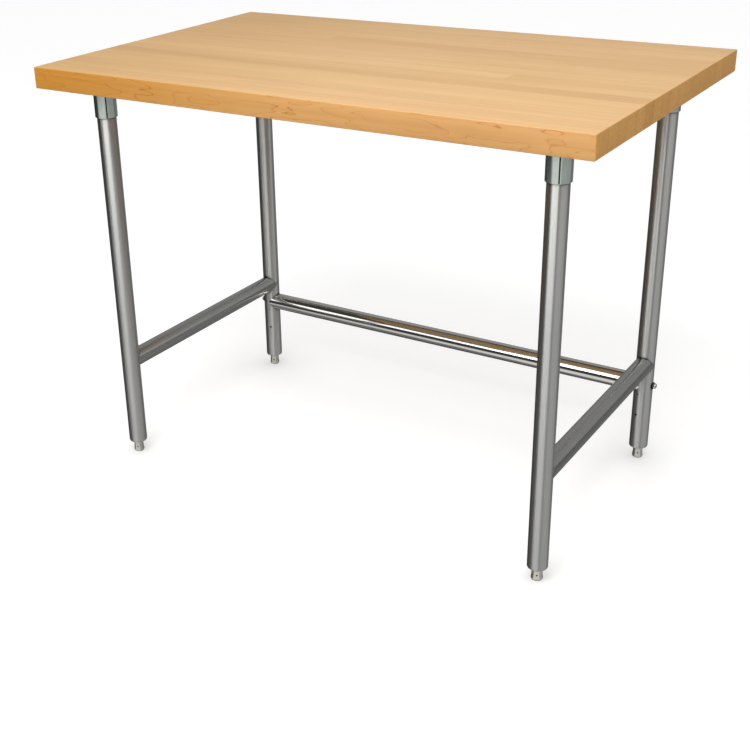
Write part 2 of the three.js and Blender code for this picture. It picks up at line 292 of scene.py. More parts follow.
def pointing(direction: Vector, place: Vector) -> Matrix:
    """A matrix that lays the Z axis along a direction and moves to a place."""
    return Matrix.Translation(place) @ direction.to_track_quat("Z", "Y").to_matrix().to_4x4()


def threaded(shape: Shape, pitch: float, depth: float, low: float, high: float) -> Shape:
    """Cuts a thread into the part of a bar that lies between two heights.

    Args:
        shape: A bar about Z with several rows of corners to each turn of the thread.
        pitch: The height of one turn.
        depth: The depth of the cut below the bar's surface.
        low: The height where the thread starts.
        high: The height where it ends.

    Returns:
        The same shape.
    """
    for corner in shape.verts:
        radius = math.hypot(corner.co.x, corner.co.y)
        if not low < corner.co.z < high or radius < MERGE_DISTANCE:
            continue
        turns = corner.co.z / pitch - math.atan2(corner.co.y, corner.co.x) / FULL_TURN
        valley = 1 - abs(2 * (turns % 1) - 1)
        run_out = min(1.0, (corner.co.z - low) / pitch, (high - corner.co.z) / pitch)
        scale = (radius - depth * valley * run_out) / radius
        corner.co.x *= scale
        corner.co.y *= scale
    return shape


def rows(low: float, high: float, step: float) -> list[float]:
    """Evenly spaced heights from one to another, both included."""
    count = max(1, round((high - low) / step))
    return [low + (high - low) * index / count for index in range(count + 1)]


# ---- Handing pieces over ------------------------------------------------------------------------


def mesh_object(shape: Shape, name: str) -> bpy.types.Object:
    """A shape as an object in the scene.

    Args:
        shape: The shape, which is used up.
        name: The object's name.

    Returns:
        The new object.
    """
    mesh = bpy.data.meshes.new(name)
    shape.to_mesh(mesh)
    shape.free()
    made = bpy.data.objects.new(name, mesh)
    bpy.context.scene.collection.objects.link(made)
    return made


def carve(piece: bpy.types.Object, operation: str, tools: Iterable[Shape]) -> None:
    """Cuts tools out of a piece, or joins them to it, and keeps the result as its mesh.

    Args:
        piece: The object to work on.
        operation: "DIFFERENCE" to cut or "UNION" to join.
        tools: The shapes to cut or join, which are used up.
    """
    helpers = []
    for shape in tools:
        tool = mesh_object(shape, "tool")
        modifier = piece.modifiers.new("carve", "BOOLEAN")
        modifier.operation = operation
        modifier.solver = "EXACT"
        modifier.object = tool
        helpers.append(tool)
    bpy.context.view_layer.update()
    evaluated = piece.evaluated_get(bpy.context.evaluated_depsgraph_get())
    result = bpy.data.meshes.new_from_object(evaluated)
    piece.modifiers.clear()
    piece.data = result
    for tool in helpers:
        bpy.data.meshes.remove(tool.data)


@dataclass(frozen=True)
class Handover:
    """What a finished shape stands for: its frame node, body, slot and finish."""

    node: str
    slot: Slot
    material: Material
    body: str = "frame"

    def piece(self, shape: Shape, joins: Sequence[Shape] = (),
              cuts: Sequence[Shape] = ()) -> bpy.types.Object:
        """Makes the piece for this node.

        Args:
            shape: Its main shape, in place.
            joins: Shapes that are joined to it.
            cuts: Shapes that are then cut out of it.

        Returns:
            The piece, riding on its body in place of the node.
        """
        made = mesh_object(shape, f"{self.node}_finished")
        if joins:
            carve(made, "UNION", joins)
        if cuts:
            carve(made, "DIFFERENCE", cuts)
        made.data.materials.clear()
        made.data.materials.append(self.material)
        made.data.shade_smooth()
        made.data.set_sharp_from_angle(angle=SHARP_ANGLE)
        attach(made, self.body)
        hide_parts(self.node)
        log.info("%s: %d faces, on %s", made.name, len(made.data.polygons), self.body)
        return made


# ---- Node trees ---------------------------------------------------------------------------------


class NodeBench:
    """A node tree being put together."""

    def __init__(self, tree: bpy.types.NodeTree) -> None:
        """Starts on a tree, which keeps the nodes that it has."""
        self.tree = tree

    def node(self, kind: str, **options: object) -> bpy.types.Node:
        """Adds a node and sets its options.

        Args:
            kind: The node's type.
            **options: Values for the node's own properties.

        Returns:
            The node.
        """
        made = self.tree.nodes.new(kind)
        for name, value in options.items():
            setattr(made, name, value)
        return made

    def feed(self, socket: Socket, value: object) -> None:
        """Links another socket into this one, or sets its value.

        Args:
            socket: The input socket.
            value: Another socket, or a plain value.
        """
        if isinstance(value, bpy.types.NodeSocket):
            self.tree.links.new(value, socket)
        else:
            socket.default_value = value

    def math(self, operation: str, *values: object, clamp: bool = False) -> Socket:
        """A sum of one or more values.

        Args:
            operation: The sum's name.
            *values: Its values in order.
            clamp: True to keep the result between 0 and 1.

        Returns:
            The result.
        """
        made = self.node("ShaderNodeMath", operation=operation, use_clamp=clamp)
        for socket, value in zip(made.inputs, values):
            self.feed(socket, value)
        return made.outputs[0]

    def centred(self, value: Socket, reach: object) -> Socket:
        """A value from 0 to 1 as one from minus the reach to the reach."""
        return self.math("MULTIPLY", self.math("MULTIPLY_ADD", value, 2.0, -1.0), reach)

    def fade(self, value: object, low: float, high: float, start: float = 0.0, end: float = 1.0) -> Socket:
        """A smooth step from one value to another while the input crosses from low to high.

        Args:
            value: The input.
            low: Where the step starts; it may be above its end.
            high: Where the step ends.
            start: The result before the step.
            end: The result after it.

        Returns:
            The stepped value.
        """
        made = self.node("ShaderNodeMapRange", interpolation_type="SMOOTHSTEP")
        for socket, given in zip(made.inputs, (value, low, high, start, end)):
            self.feed(socket, given)
        return made.outputs["Result"]

    def vector(self, x: object, y: object, z: object) -> Socket:
        """A vector from three values.

        Args:
            x: The value along X.
            y: The value along Y.
            z: The value along Z.

        Returns:
            The vector.
        """
        made = self.node("ShaderNodeCombineXYZ")
        for socket, value in zip(made.inputs, (x, y, z)):
            self.feed(socket, value)
        return made.outputs["Vector"]

    def stretched(self, vector: Socket, factors: object, offset: object = (0.0, 0.0, 0.0)) -> Socket:
        """A vector multiplied along each axis, then shifted.

        Args:
            vector: The vector.
            factors: What it is multiplied by along X, Y and Z.
            offset: What is added to it.

        Returns:
            The new vector.
        """
        made = self.node("ShaderNodeVectorMath", operation="MULTIPLY_ADD")
        for socket, value in zip(made.inputs, (vector, factors, offset)):
            self.feed(socket, value)
        return made.outputs["Vector"]

    def noise(self, vector: Socket, scale: float = 1.0, detail: float = 2.0,
              roughness: float = 0.5) -> Socket:
        """Soft noise from 0 to 1.

        Args:
            vector: The place that is looked up.
            scale: How fine the noise is.
            detail: How many finer layers it has.
            roughness: How strong the finer layers are.

        Returns:
            The noise.
        """
        made = self.node("ShaderNodeTexNoise")
        settings = {"Vector": vector, "Scale": scale, "Detail": detail, "Roughness": roughness}
        for name, value in settings.items():
            self.feed(made.inputs[name], value)
        return made.outputs["Fac"]

    def mix(self, factor: object, first: object, second: object, blend: str = "MIX") -> Socket:
        """A mix of two colours.

        Args:
            factor: How much of the second colour there is.
            first: The first colour.
            second: The second colour.
            blend: The way that the second is laid on the first.

        Returns:
            The mixed colour.
        """
        made = self.node("ShaderNodeMix", data_type="RGBA", blend_type=blend)
        colours = [socket for socket in made.inputs if socket.type == "RGBA"]
        self.feed(made.inputs["Factor"], factor)
        self.feed(colours[0], first)
        self.feed(colours[1], second)
        return next(socket for socket in made.outputs if socket.type == "RGBA")

    def place(self) -> Socket:
        """The point's place on the object."""
        return self.node("ShaderNodeTexCoord").outputs["Object"]

    def group(self, tree: bpy.types.NodeTree, **values: object) -> bpy.types.Node:
        """Places a shared group.

        Args:
            tree: The group's tree.
            **values: The group's values by the names of its inputs.

        Returns:
            The group's node.
        """
        made = self.node("ShaderNodeGroup")
        made.node_tree = tree
        for name, value in values.items():
            self.feed(made.inputs[name], value)
        return made


class SharedGroup:
    """A shader node group built once and placed in many materials."""

    def __init__(self, name: str, inputs: dict[str, str], outputs: dict[str, str]) -> None:
        """Makes the group and its sockets.

        Args:
            name: The group's name.
            inputs: The kind of each input by its name.
            outputs: The kind of each output by its name.
        """
        self.tree = bpy.data.node_groups.new(name, "ShaderNodeTree")
        for title, kind in inputs.items():
            self.tree.interface.new_socket(name=title, in_out="INPUT", socket_type=f"NodeSocket{kind}")
        for title, kind in outputs.items():
            self.tree.interface.new_socket(name=title, in_out="OUTPUT", socket_type=f"NodeSocket{kind}")
        self.bench = NodeBench(self.tree)
        self.given = self.bench.node("NodeGroupInput").outputs
        self.result = self.bench.node("NodeGroupOutput").inputs

    def put_out(self, **values: Socket) -> None:
        """Links the group's outputs by name."""
        for name, value in values.items():
            self.bench.feed(self.result[name], value)


# ---- Shared effects -----------------------------------------------------------------------------


def scaled(colour: Colour, factor: float) -> Colour:
    """A colour made darker or lighter, at most white."""
    red, green, blue = (min(1.0, channel * factor) for channel in colour[:3])
    return red, green, blue, 1.0


@dataclass(frozen=True)
class Mottle:
    """Soft noise with its own fineness along X, Y and Z."""

    stretch: Stretch
    detail: float = 2.0
    roughness: float = 0.5

    def at(self, bench: NodeBench, place: Socket, shift: object = (0.0, 0.0, 0.0)) -> Socket:
        """The noise at a place, with a shift that sets one piece apart from another."""
        stretched = bench.stretched(place, self.stretch, shift)
        return bench.noise(stretched, detail=self.detail, roughness=self.roughness)


@dataclass(frozen=True)
class MapleGrain:
    """The grain of hard maple, as growth rings in space that every face of a stave cuts in its own way."""

    pale: Colour = (0.830, 0.530, 0.248, 1.0)
    deep: Colour = (0.560, 0.300, 0.098, 1.0)
    line: Colour = (0.600, 0.220, 0.040, 1.0)
    # Side faces: the wood's own deeper colour, and painted shade where they lack the top's sheen.
    face_colour_and_shade: Colour = (0.895, 0.738, 0.490, 1.0)
    end_tint: Colour = (0.950, 0.800, 0.430, 1.0)
    # Underside: greyer as raw wood, and darker as painted shade, which also dims its reflection in the legs.
    raw_and_shaded_underside: Colour = (0.800, 0.840, 0.900, 1.0)
    # Painted shade towards the left end, where the wood misses light and sheen: its tint on the top, its
    # tint on the side faces, and its ramp along X.
    top_painted_left_shade: Colour = (0.930, 0.890, 0.760, 1.0)
    face_painted_left_shade: Colour = (0.970, 0.815, 0.250, 1.0)
    painted_left_shade: Ramp = (0.10, -0.66)
    glue: Colour = (0.090, 0.045, 0.015, 1.0)
    butt_seed: float = 7.3
    sway_lanes: tuple[float, float] = (0.0, 9.7)
    sway_per_metre: float = 1.7
    slow_detail: float = 1.0
    ripple: Mottle = Mottle((5.5, 27.0, 27.0), detail=2.2)
    jitter: Mottle = Mottle((75.0, 330.0, 330.0))
    jitter_reach: float = 0.24 * MM
    unevenness_per_metre: float = 75.0
    ring_unevenness: float = 1.5
    line_start: Ramp = (0.915, 0.968)
    line_end: Ramp = (1.0, 0.975)
    line_spread: float = 0.6
    line_least: float = 0.4
    line_breaks: Mottle = Mottle((6.0, 30.0, 30.0))
    break_ramp: Ramp = (0.3, 0.6)
    pores: Mottle = Mottle((90.0, 2100.0, 2100.0))
    pore_ramp: Ramp = (0.57, 0.72)
    streaks: Mottle = Mottle((2.4, 190.0, 190.0), detail=4.0, roughness=0.6)
    bands: Mottle = Mottle((1.1, 95.0, 95.0))
    clouds: Mottle = Mottle((2.2, 13.0, 13.0))
    streak_strength: float = 0.23
    cloud_strength: float = 0.24
    pore_strength: float = 0.13
    tone_strength: float = 0.10
    fleck_strength: float = 0.35
    fleck_slant: float = math.radians(35)
    fleck_scale: Stretch = (240.0, 850.0, 500.0)
    fleck_ramp: Ramp = (0.42, 0.12)
    fleck_patches: Mottle = Mottle((5.0, 60.0, 60.0))
    patch_ramp: Ramp = (0.48, 0.6)
    facing_ramp: Ramp = (0.5, 0.9)
    under_ramp: Ramp = (-0.5, -0.9)
    end_streaks: Mottle = Mottle((1.0, 900.0, 130.0), detail=4.0, roughness=0.65)
    end_streak_ramp: Ramp = (0.42, 0.75, 0.0, 0.45)
    end_dots: Mottle = Mottle((1.0, 1900.0, 900.0), detail=1.0)
    end_dot_ramp: Ramp = (0.62, 0.75, 0.0, 0.35)
    satin: float = 0.42
    satin_streak: float = 0.07
    end_dullness: float = 0.2
    pore_height: float = -0.7
    line_height: float = 0.3
    end_height: float = 0.8
    butt_change: float = 0.16
    butt_ramp: Ramp = (0.35 * MM, 0.1 * MM)
    butt_strength: float = 0.35
    glue_ramp: Ramp = (0.75 * MM, 0.1875 * MM)
    glue_on_top: float = 0.18

    def build(self) -> bpy.types.NodeTree:
        """Builds the group.

        Returns:
            A group that puts out the wood's colour, roughness and height.
        """
        wanted = (
            "PithY", "PithZ", "Sway", "Ring", "Ripple", "Depth", "Figure", "Fleck", "Butt", "Seed",
            "Front", "Back", "GlueFront", "GlueBack",
        )
        group = SharedGroup(
            "maple_grain", {name: "Float" for name in wanted},
            {"Color": "Color", "Roughness": "Float", "Height": "Float"},
        )
        bench = group.bench
        given = group.given
        place = bench.place()
        split = bench.node("ShaderNodeSeparateXYZ")
        bench.feed(split.inputs[0], place)
        along, across, up = split.outputs
        past_butt = bench.math("GREATER_THAN", along, given["Butt"])
        seed = bench.math("MULTIPLY_ADD", past_butt, self.butt_seed, given["Seed"])
        shift = bench.vector(seed, seed, seed)

        line, tone = self.rings(bench, given, place, (along, across, up), seed, shift)
        pores = self.pores.at(bench, place, shift)
        pore = bench.fade(pores, *self.pore_ramp)
        streaks = self.streaks.at(bench, place, shift)
        depth = self.depth(bench, given, place, shift, (streaks, past_butt, tone, pore))
        colour = bench.mix(depth, self.pale, self.deep)
        colour = bench.mix(bench.math("MULTIPLY", line, given["Figure"], clamp=True), colour, self.line)
        colour, end = self.faces(bench, place, along, colour, shift)
        colour = self.joints(bench, given, (along, across), colour, end)

        roughness = bench.math("ADD", self.satin, bench.centred(streaks, self.satin_streak))
        roughness = bench.math("MULTIPLY_ADD", end, self.end_dullness, roughness)
        raised = bench.math("MULTIPLY", line, self.line_height)
        height = bench.math("MULTIPLY_ADD", pore, self.pore_height, raised)
        height = bench.math("MULTIPLY_ADD", bench.math("MULTIPLY", pores, end), self.end_height, height)
        group.put_out(Color=colour, Roughness=roughness, Height=height)
        return group.tree

    def depth(self, bench: NodeBench, given: object, place: Socket, shift: Socket,
              marks: Sequence[Socket]) -> Socket:
        """How deep the wood's colour is, from 0 to 1.

        Args:
            bench: The group's bench.
            given: The group's inputs.
            place: The point's place.
            shift: A vector that sets this stave apart.
            marks: The streaks, the side of the butt joint, the slow ring tone and the pores.

        Returns:
            The depth of the colour.
        """
        streaks, past_butt, tone, pore = marks
        bands = self.bands.at(bench, place, shift)
        clouds = self.clouds.at(bench, place, shift)
        fleck = self.flecks(bench, given, place, shift)
        depth = bench.math("ADD", given["Depth"], bench.centred(streaks, self.streak_strength))
        depth = bench.math("ADD", depth, bench.centred(bands, self.streak_strength))
        depth = bench.math("ADD", depth, bench.centred(clouds, self.cloud_strength))
        depth = bench.math("MULTIPLY_ADD", past_butt, self.butt_change, depth)
        depth = bench.math("MULTIPLY_ADD", tone, self.tone_strength, depth)
        depth = bench.math("MULTIPLY_ADD", pore, self.pore_strength, depth)
        return bench.math("MULTIPLY_ADD", fleck, -self.fleck_strength, depth, clamp=True)

    def rings(self, bench: NodeBench, given: object, place: Socket, axes: Sequence[Socket], seed: Socket,
              shift: Socket) -> tuple[Socket, Socket]:
        """Growth rings round a pith that sways along the stave.

        Args:
            bench: The group's bench.
            given: The group's inputs.
            place: The point's place.
            axes: Its X, Y and Z.
            seed: A number that sets this stave apart.
            shift: The same number as a vector.

        Returns:
            The thin dark line at each ring's end, and the slow darkening across each ring.
        """
        along, across, up = axes
        sway = []
        for lane in self.sway_lanes:
            lane_place = bench.math("MULTIPLY_ADD", along, self.sway_per_metre, seed)
            sway.append(bench.noise(bench.vector(lane_place, lane, seed), detail=self.slow_detail))
        out_y = bench.math("ADD", bench.math("SUBTRACT", across, given["PithY"]),
                           bench.centred(sway[0], given["Sway"]))
        out_z = bench.math("ADD", bench.math("SUBTRACT", up, given["PithZ"]),
                           bench.centred(sway[1], given["Sway"]))
        radius = bench.math("SQRT", bench.math("ADD", bench.math("POWER", out_y, 2.0),
                                               bench.math("POWER", out_z, 2.0)))
        ripple = self.ripple.at(bench, place, shift)
        jitter = self.jitter.at(bench, place, shift)
        radius = bench.math("ADD", radius, bench.centred(ripple, given["Ripple"]))
        radius = bench.math("ADD", radius, bench.centred(jitter, self.jitter_reach))
        outwards = bench.math("MULTIPLY", radius, self.unevenness_per_metre)
        uneven = bench.noise(bench.vector(outwards, seed, 0.0), detail=self.slow_detail)
        phase = bench.math("ADD", bench.math("DIVIDE", radius, given["Ring"]),
                           bench.math("MULTIPLY", uneven, self.ring_unevenness))
        part = bench.math("FRACT", phase)
        line = bench.math("MULTIPLY", bench.fade(part, *self.line_start), bench.fade(part, *self.line_end))
        each = bench.node("ShaderNodeTexWhiteNoise", noise_dimensions="2D")
        bench.feed(each.inputs["Vector"], bench.vector(bench.math("FLOOR", phase), seed, 0.0))
        strength = bench.math("MULTIPLY_ADD", each.outputs["Value"], self.line_spread, self.line_least)
        unbroken = bench.fade(self.line_breaks.at(bench, place, shift), *self.break_ramp)
        lasting = bench.math("MULTIPLY_ADD", unbroken, self.line_spread, self.line_least)
        strength = bench.math("MULTIPLY", strength, lasting)
        return bench.math("MULTIPLY", line, strength), bench.math("POWER", part, 2.0)

    def flecks(self, bench: NodeBench, given: object, place: Socket, shift: Socket) -> Socket:
        """Ray flecks: short pale scales that lie aslant in patches of a quartered stave.

        Args:
            bench: The group's bench.
            given: The group's inputs.
            place: The point's place.
            shift: A vector that sets this stave apart.

        Returns:
            The strength of the flecks.
        """
        turned = bench.node("ShaderNodeMapping")
        turned.inputs["Rotation"].default_value = (0.0, 0.0, self.fleck_slant)
        turned.inputs["Scale"].default_value = self.fleck_scale
        bench.feed(turned.inputs["Vector"], place)
        cells = bench.node("ShaderNodeTexVoronoi", feature="F1")
        bench.feed(cells.inputs["Vector"], turned.outputs["Vector"])
        bench.feed(cells.inputs["Scale"], 1.0)
        scale = bench.fade(cells.outputs["Distance"], *self.fleck_ramp)
        patch = bench.fade(self.fleck_patches.at(bench, place, shift), *self.patch_ramp)
        return bench.math("MULTIPLY", bench.math("MULTIPLY", scale, patch), given["Fleck"])

    def faces(self, bench: NodeBench, place: Socket, along: Socket, colour: Socket,
              shift: Socket) -> tuple[Socket, Socket]:
        """Deeper colour on the side faces (partly painted shade), painted shade to the left, a raw underside
        darkened by painted shade, and thirsty, streaked end grain.

        Args:
            bench: The group's bench.
            place: The point's place.
            along: Its X.
            colour: The wood's colour on its top.
            shift: A vector that sets this stave apart.

        Returns:
            The colour on every face, and a mask of the end grain.
        """
        facing = bench.node("ShaderNodeSeparateXYZ")
        bench.feed(facing.inputs[0], bench.node("ShaderNodeTexCoord").outputs["Normal"])
        end = bench.fade(bench.math("ABSOLUTE", facing.outputs["X"]), *self.facing_ramp)
        side = bench.fade(bench.math("ABSOLUTE", facing.outputs["Y"]), *self.facing_ramp)
        # Painted shade: darker, more saturated wood towards the left end.
        painted_left_shade_mask = bench.fade(along, *self.painted_left_shade)
        painted_left_shade = bench.mix(side, self.top_painted_left_shade, self.face_painted_left_shade)
        colour = bench.mix(painted_left_shade_mask, colour, bench.mix(1.0, colour, painted_left_shade, "MULTIPLY"))
        upright = self.end_streaks.at(bench, place, shift)
        dots = self.end_dots.at(bench, place, shift)
        # Side faces deeper and more saturated: partly wood colour, partly painted shade.
        colour = bench.mix(side, colour, bench.mix(1.0, colour, self.face_colour_and_shade, "MULTIPLY"))
        # The underside takes the raw wood's grey and a painted shade.
        under = bench.fade(facing.outputs["Z"], *self.under_ramp)
        colour = bench.mix(under, colour, bench.mix(1.0, colour, self.raw_and_shaded_underside, "MULTIPLY"))
        thirsty = bench.mix(1.0, colour, self.end_tint, "MULTIPLY")
        streak = bench.fade(upright, *self.end_streak_ramp)
        streaked = bench.mix(streak, thirsty, self.deep, "MULTIPLY")
        dot = bench.fade(dots, *self.end_dot_ramp)
        dotted = bench.mix(dot, streaked, self.deep, "MULTIPLY")
        return bench.mix(end, colour, dotted), end

    def joints(self, bench: NodeBench, given: object, axes: Sequence[Socket], colour: Socket,
               end: Socket) -> Socket:
        """Dark glue in the joints: clear on the end grain, faint on the top, and across each butt joint.

        Args:
            bench: The group's bench.
            given: The group's inputs.
            axes: The point's X and Y.
            colour: The wood's colour.
            end: The mask of the end grain.

        Returns:
            The colour with its joints.
        """
        along, across = axes
        sides = []
        for edge, strength in (("Front", "GlueFront"), ("Back", "GlueBack")):
            away = bench.math("ABSOLUTE", bench.math("SUBTRACT", across, given[edge]))
            near = bench.fade(away, *self.glue_ramp)
            sides.append(bench.math("MULTIPLY", near, given[strength]))
        seam = bench.math("MAXIMUM", *sides)
        seen = bench.math("MULTIPLY_ADD", end, 1 - self.glue_on_top, self.glue_on_top)
        colour = bench.mix(bench.math("MULTIPLY", seam, seen), colour, self.glue)
        from_butt = bench.math("ABSOLUTE", bench.math("SUBTRACT", along, given["Butt"]))
        butt_line = bench.math("MULTIPLY", bench.fade(from_butt, *self.butt_ramp), self.butt_strength)
        return bench.mix(butt_line, colour, self.deep, "MULTIPLY")


@dataclass(frozen=True)
class BrushedLines:
    """Fine lines left by a belt or brush that ran round a piece."""

    line_detail: float = 3.0
    line_roughness: float = 0.75
    band_stretch: Stretch = (0.5, 0.5, 0.12)
    band_scale: float = 0.3
    smear_scale: float = 17.0
    smear_detail: float = 3.0
    smear_roughness: float = 0.55

    def build(self) -> bpy.types.NodeTree:
        """Builds the group.

        Returns:
            A group that puts out fine lines, broad bands and faint smears, each from 0 to 1.
        """
        group = SharedGroup(
            "brushed_lines", {"Grit": "Vector"}, {"Lines": "Float", "Bands": "Float", "Smears": "Float"},
        )
        bench = group.bench
        place = bench.place()
        fine = bench.stretched(place, group.given["Grit"])
        lines = bench.noise(fine, detail=self.line_detail, roughness=self.line_roughness)
        bands = bench.noise(bench.stretched(fine, self.band_stretch), scale=self.band_scale)
        smears = bench.noise(place, self.smear_scale, self.smear_detail, self.smear_roughness)
        group.put_out(Lines=lines, Bands=bands, Smears=smears)
        return group.tree


@dataclass(frozen=True)
class EdgeWear:
    """Edges rubbed bright by handling."""

    samples: int = 6
    edge_ramp: Ramp = (0.985, 0.86)
    break_scale: float = 260.0
    break_detail: float = 3.0
    break_ramp: Ramp = (0.3, 0.6, 0.45, 1.0)

    def build(self) -> bpy.types.NodeTree:
        """Builds the group.

        Returns:
            A group that puts out a mask of the edges within a radius.
        """
        group = SharedGroup("edge_wear", {"Radius": "Float"}, {"Mask": "Float"})
        bench = group.bench
        rounded = bench.node("ShaderNodeBevel", samples=self.samples)
        bench.feed(rounded.inputs["Radius"], group.given["Radius"])
        turn = bench.node("ShaderNodeVectorMath", operation="DOT_PRODUCT")
        bench.feed(turn.inputs[0], rounded.outputs["Normal"])
        bench.feed(turn.inputs[1], bench.node("ShaderNodeNewGeometry").outputs["Normal"])
        broken = bench.noise(bench.place(), self.break_scale, self.break_detail)
        edge = bench.fade(turn.outputs["Value"], *self.edge_ramp)
        group.put_out(Mask=bench.math("MULTIPLY", edge, bench.fade(broken, *self.break_ramp)))
        return group.tree


@dataclass(frozen=True)
class CreviceShade:
    """Painted shade held in slots, joints and corners."""

    samples: int = 6
    shade_ramp: Ramp = (0.93, 0.58)

    def build(self) -> bpy.types.NodeTree:
        """Builds the group.

        Returns:
            A group that puts out a mask of the places closer together than a reach.
        """
        group = SharedGroup("painted_crevice_shade", {"Reach": "Float"}, {"Mask": "Float"})
        bench = group.bench
        # Ambient occlusion turned into a colour mask: painted shade in crevices.
        shut_in = bench.node("ShaderNodeAmbientOcclusion", samples=self.samples)
        bench.feed(shut_in.inputs["Distance"], group.given["Reach"])
        group.put_out(Mask=bench.fade(shut_in.outputs["AO"], *self.shade_ramp))
        return group.tree


@dataclass(frozen=True)
class SharedEffects:
    """The node groups that the finishes share."""

    maple: bpy.types.NodeTree
    brushed: bpy.types.NodeTree
    wear: bpy.types.NodeTree
    # The group that paints shade into crevices.
    crevice_shade: bpy.types.NodeTree

    @classmethod
    def build(cls) -> "SharedEffects":
        """Builds every shared group once."""
        return cls(MapleGrain().build(), BrushedLines().build(), EdgeWear().build(), CreviceShade().build())


# ---- Finishes -----------------------------------------------------------------------------------


def new_material(name: str) -> tuple[Material, NodeBench, bpy.types.Node]:
    """A material with only its output and a Principled BSDF.

    Args:
        name: The material's name.

    Returns:
        The material, the bench of its tree and the shader.
    """
    material = bpy.data.materials.new(name)
    material.use_nodes = True
    bench = NodeBench(material.node_tree)
    shader = material.node_tree.nodes["Principled BSDF"]
    return material, bench, shader


def bump(bench: NodeBench, shader: bpy.types.Node, height: Socket, depth: float, strength: float) -> None:
    """Feeds a height into a shader's normal.

    Args:
        bench: The material's bench.
        shader: The shader.
        height: The height of the marks, as a share of their depth.
        depth: How deep the marks are.
        strength: How strongly they show, from 0 to 1.
    """
    made = bench.node("ShaderNodeBump")
    bench.feed(made.inputs["Height"], height)
    bench.feed(made.inputs["Distance"], depth)
    bench.feed(made.inputs["Strength"], strength)
    bench.feed(shader.inputs["Normal"], made.outputs["Normal"])


def shaded_in_crevices(bench: NodeBench, effects: SharedEffects, colour: Socket, reach: float,
           strength: float) -> Socket:
    """A colour darkened in its crevices with painted shade.

    Args:
        bench: The material's bench.
        effects: The shared groups.
        colour: The clean colour.
        reach: How close two surfaces stand to take the painted shade.
        strength: How dark the painted shade is, from 0 to 1.

    Returns:
        The colour with its painted shade.
    """
    # Painted shade: the colour goes towards near-black where the crevice mask is high.
    mask = bench.group(effects.crevice_shade, Reach=reach).outputs["Mask"]
    return bench.mix(bench.math("MULTIPLY", mask, strength), colour, CREVICE_SHADE_COLOUR)


@dataclass(frozen=True)
class StaveWood:
    """How one stave was sawn: where its pith lies from its own middle, and how its wood looks."""

    pith: tuple[float, float]
    sway: float = 9 * MM
    ring: float = 3.2 * MM
    ripple: float = 1.5 * MM
    depth: float = 0.24
    figure: float = 0.22
    fleck: float = 0.0
    butt: float = NO_BUTT
    glue_front: float = 0.25
    glue_back: float = 0.25


@dataclass(frozen=True)
class MapleFinish:
    """Oiled maple with one stave's own place in its tree."""

    name: str
    wood: StaveWood
    span: Span
    seed: float
    oil: float = 0.16
    oil_roughness: float = 0.4
    relief: float = 0.12 * MM
    relief_strength: float = 0.35

    def build(self, effects: SharedEffects) -> Material:
        """Builds the material from the shared grain.

        Args:
            effects: The shared groups.

        Returns:
            The material.
        """
        material, bench, shader = new_material(self.name)
        wood = self.wood
        middle = self.span.middle
        grain = bench.group(
            effects.maple, PithY=middle.y + wood.pith[0], PithZ=middle.z + wood.pith[1], Sway=wood.sway,
            Ring=wood.ring, Ripple=wood.ripple, Depth=wood.depth, Figure=wood.figure, Fleck=wood.fleck,
            Butt=wood.butt, Seed=self.seed, Front=self.span.low.y, Back=self.span.high.y,
            GlueFront=wood.glue_front, GlueBack=wood.glue_back,
        )
        bench.feed(shader.inputs["Base Color"], grain.outputs["Color"])
        bench.feed(shader.inputs["Roughness"], grain.outputs["Roughness"])
        bench.feed(shader.inputs["Coat Weight"], self.oil)
        bench.feed(shader.inputs["Coat Roughness"], self.oil_roughness)
        bump(bench, shader, grain.outputs["Height"], self.relief, self.relief_strength)
        return material


@dataclass(frozen=True)
class SteelFinish:
    """Stainless tube brushed round its girth."""

    name: str
    axis: TubeAxis
    colour: Colour
    roughness: float
    grain: float
    spread: float
    # How far and how dark the painted shade in joints and slots is.
    shade_reach: float = 7 * MM
    crevice_shade: float = 0.96
    grit_round: float = 24.0
    grit_along: float = 1600.0
    line_share: float = 0.5
    band_share: float = 0.35
    dark_share: float = 2.0
    middle_tone: float = 0.6
    spread_turn: float = 0.25
    rough_share: float = 0.3
    smear: float = 0.05
    relief: float = 0.02 * MM
    relief_share: float = 0.5

    def build(self, effects: SharedEffects) -> Material:
        """Builds the material with lines that run across the tube's axis, so that light spreads along it.

        Args:
            effects: The shared groups.

        Returns:
            The material.
        """
        material, bench, shader = new_material(self.name)
        grit = [self.grit_round] * len(TubeAxis)
        grit[self.axis.value] = self.grit_along
        marks = bench.group(effects.brushed, Grit=grit)
        shade = bench.math("ADD", bench.centred(marks.outputs["Lines"], self.grain * self.line_share),
                           bench.centred(marks.outputs["Bands"], self.grain * self.band_share))
        dark = scaled(self.colour, 1 - self.dark_share * self.grain)
        light = scaled(self.colour, 1 + self.grain)
        tone = bench.mix(bench.math("ADD", shade, self.middle_tone, clamp=True), dark, light)
        # The base colour carries painted shade in its crevices.
        bench.feed(shader.inputs["Base Color"], shaded_in_crevices(bench, effects, tone, self.shade_reach, self.crevice_shade))
        tangent = bench.node("ShaderNodeTangent", direction_type="RADIAL", axis="XYZ"[self.axis.value])
        bench.feed(shader.inputs["Tangent"], tangent.outputs["Tangent"])
        bench.feed(shader.inputs["Anisotropic"], self.spread)
        bench.feed(shader.inputs["Anisotropic Rotation"], self.spread_turn)
        lines = bench.centred(marks.outputs["Lines"], self.grain * self.rough_share)
        smears = bench.centred(marks.outputs["Smears"], self.smear)
        rough = bench.math("ADD", bench.math("ADD", self.roughness, lines), smears)
        bench.feed(shader.inputs["Roughness"], rough)
        bench.feed(shader.inputs["Metallic"], 1.0)
        bump(bench, shader, marks.outputs["Lines"], self.relief, self.relief_share * self.grain)
        return material


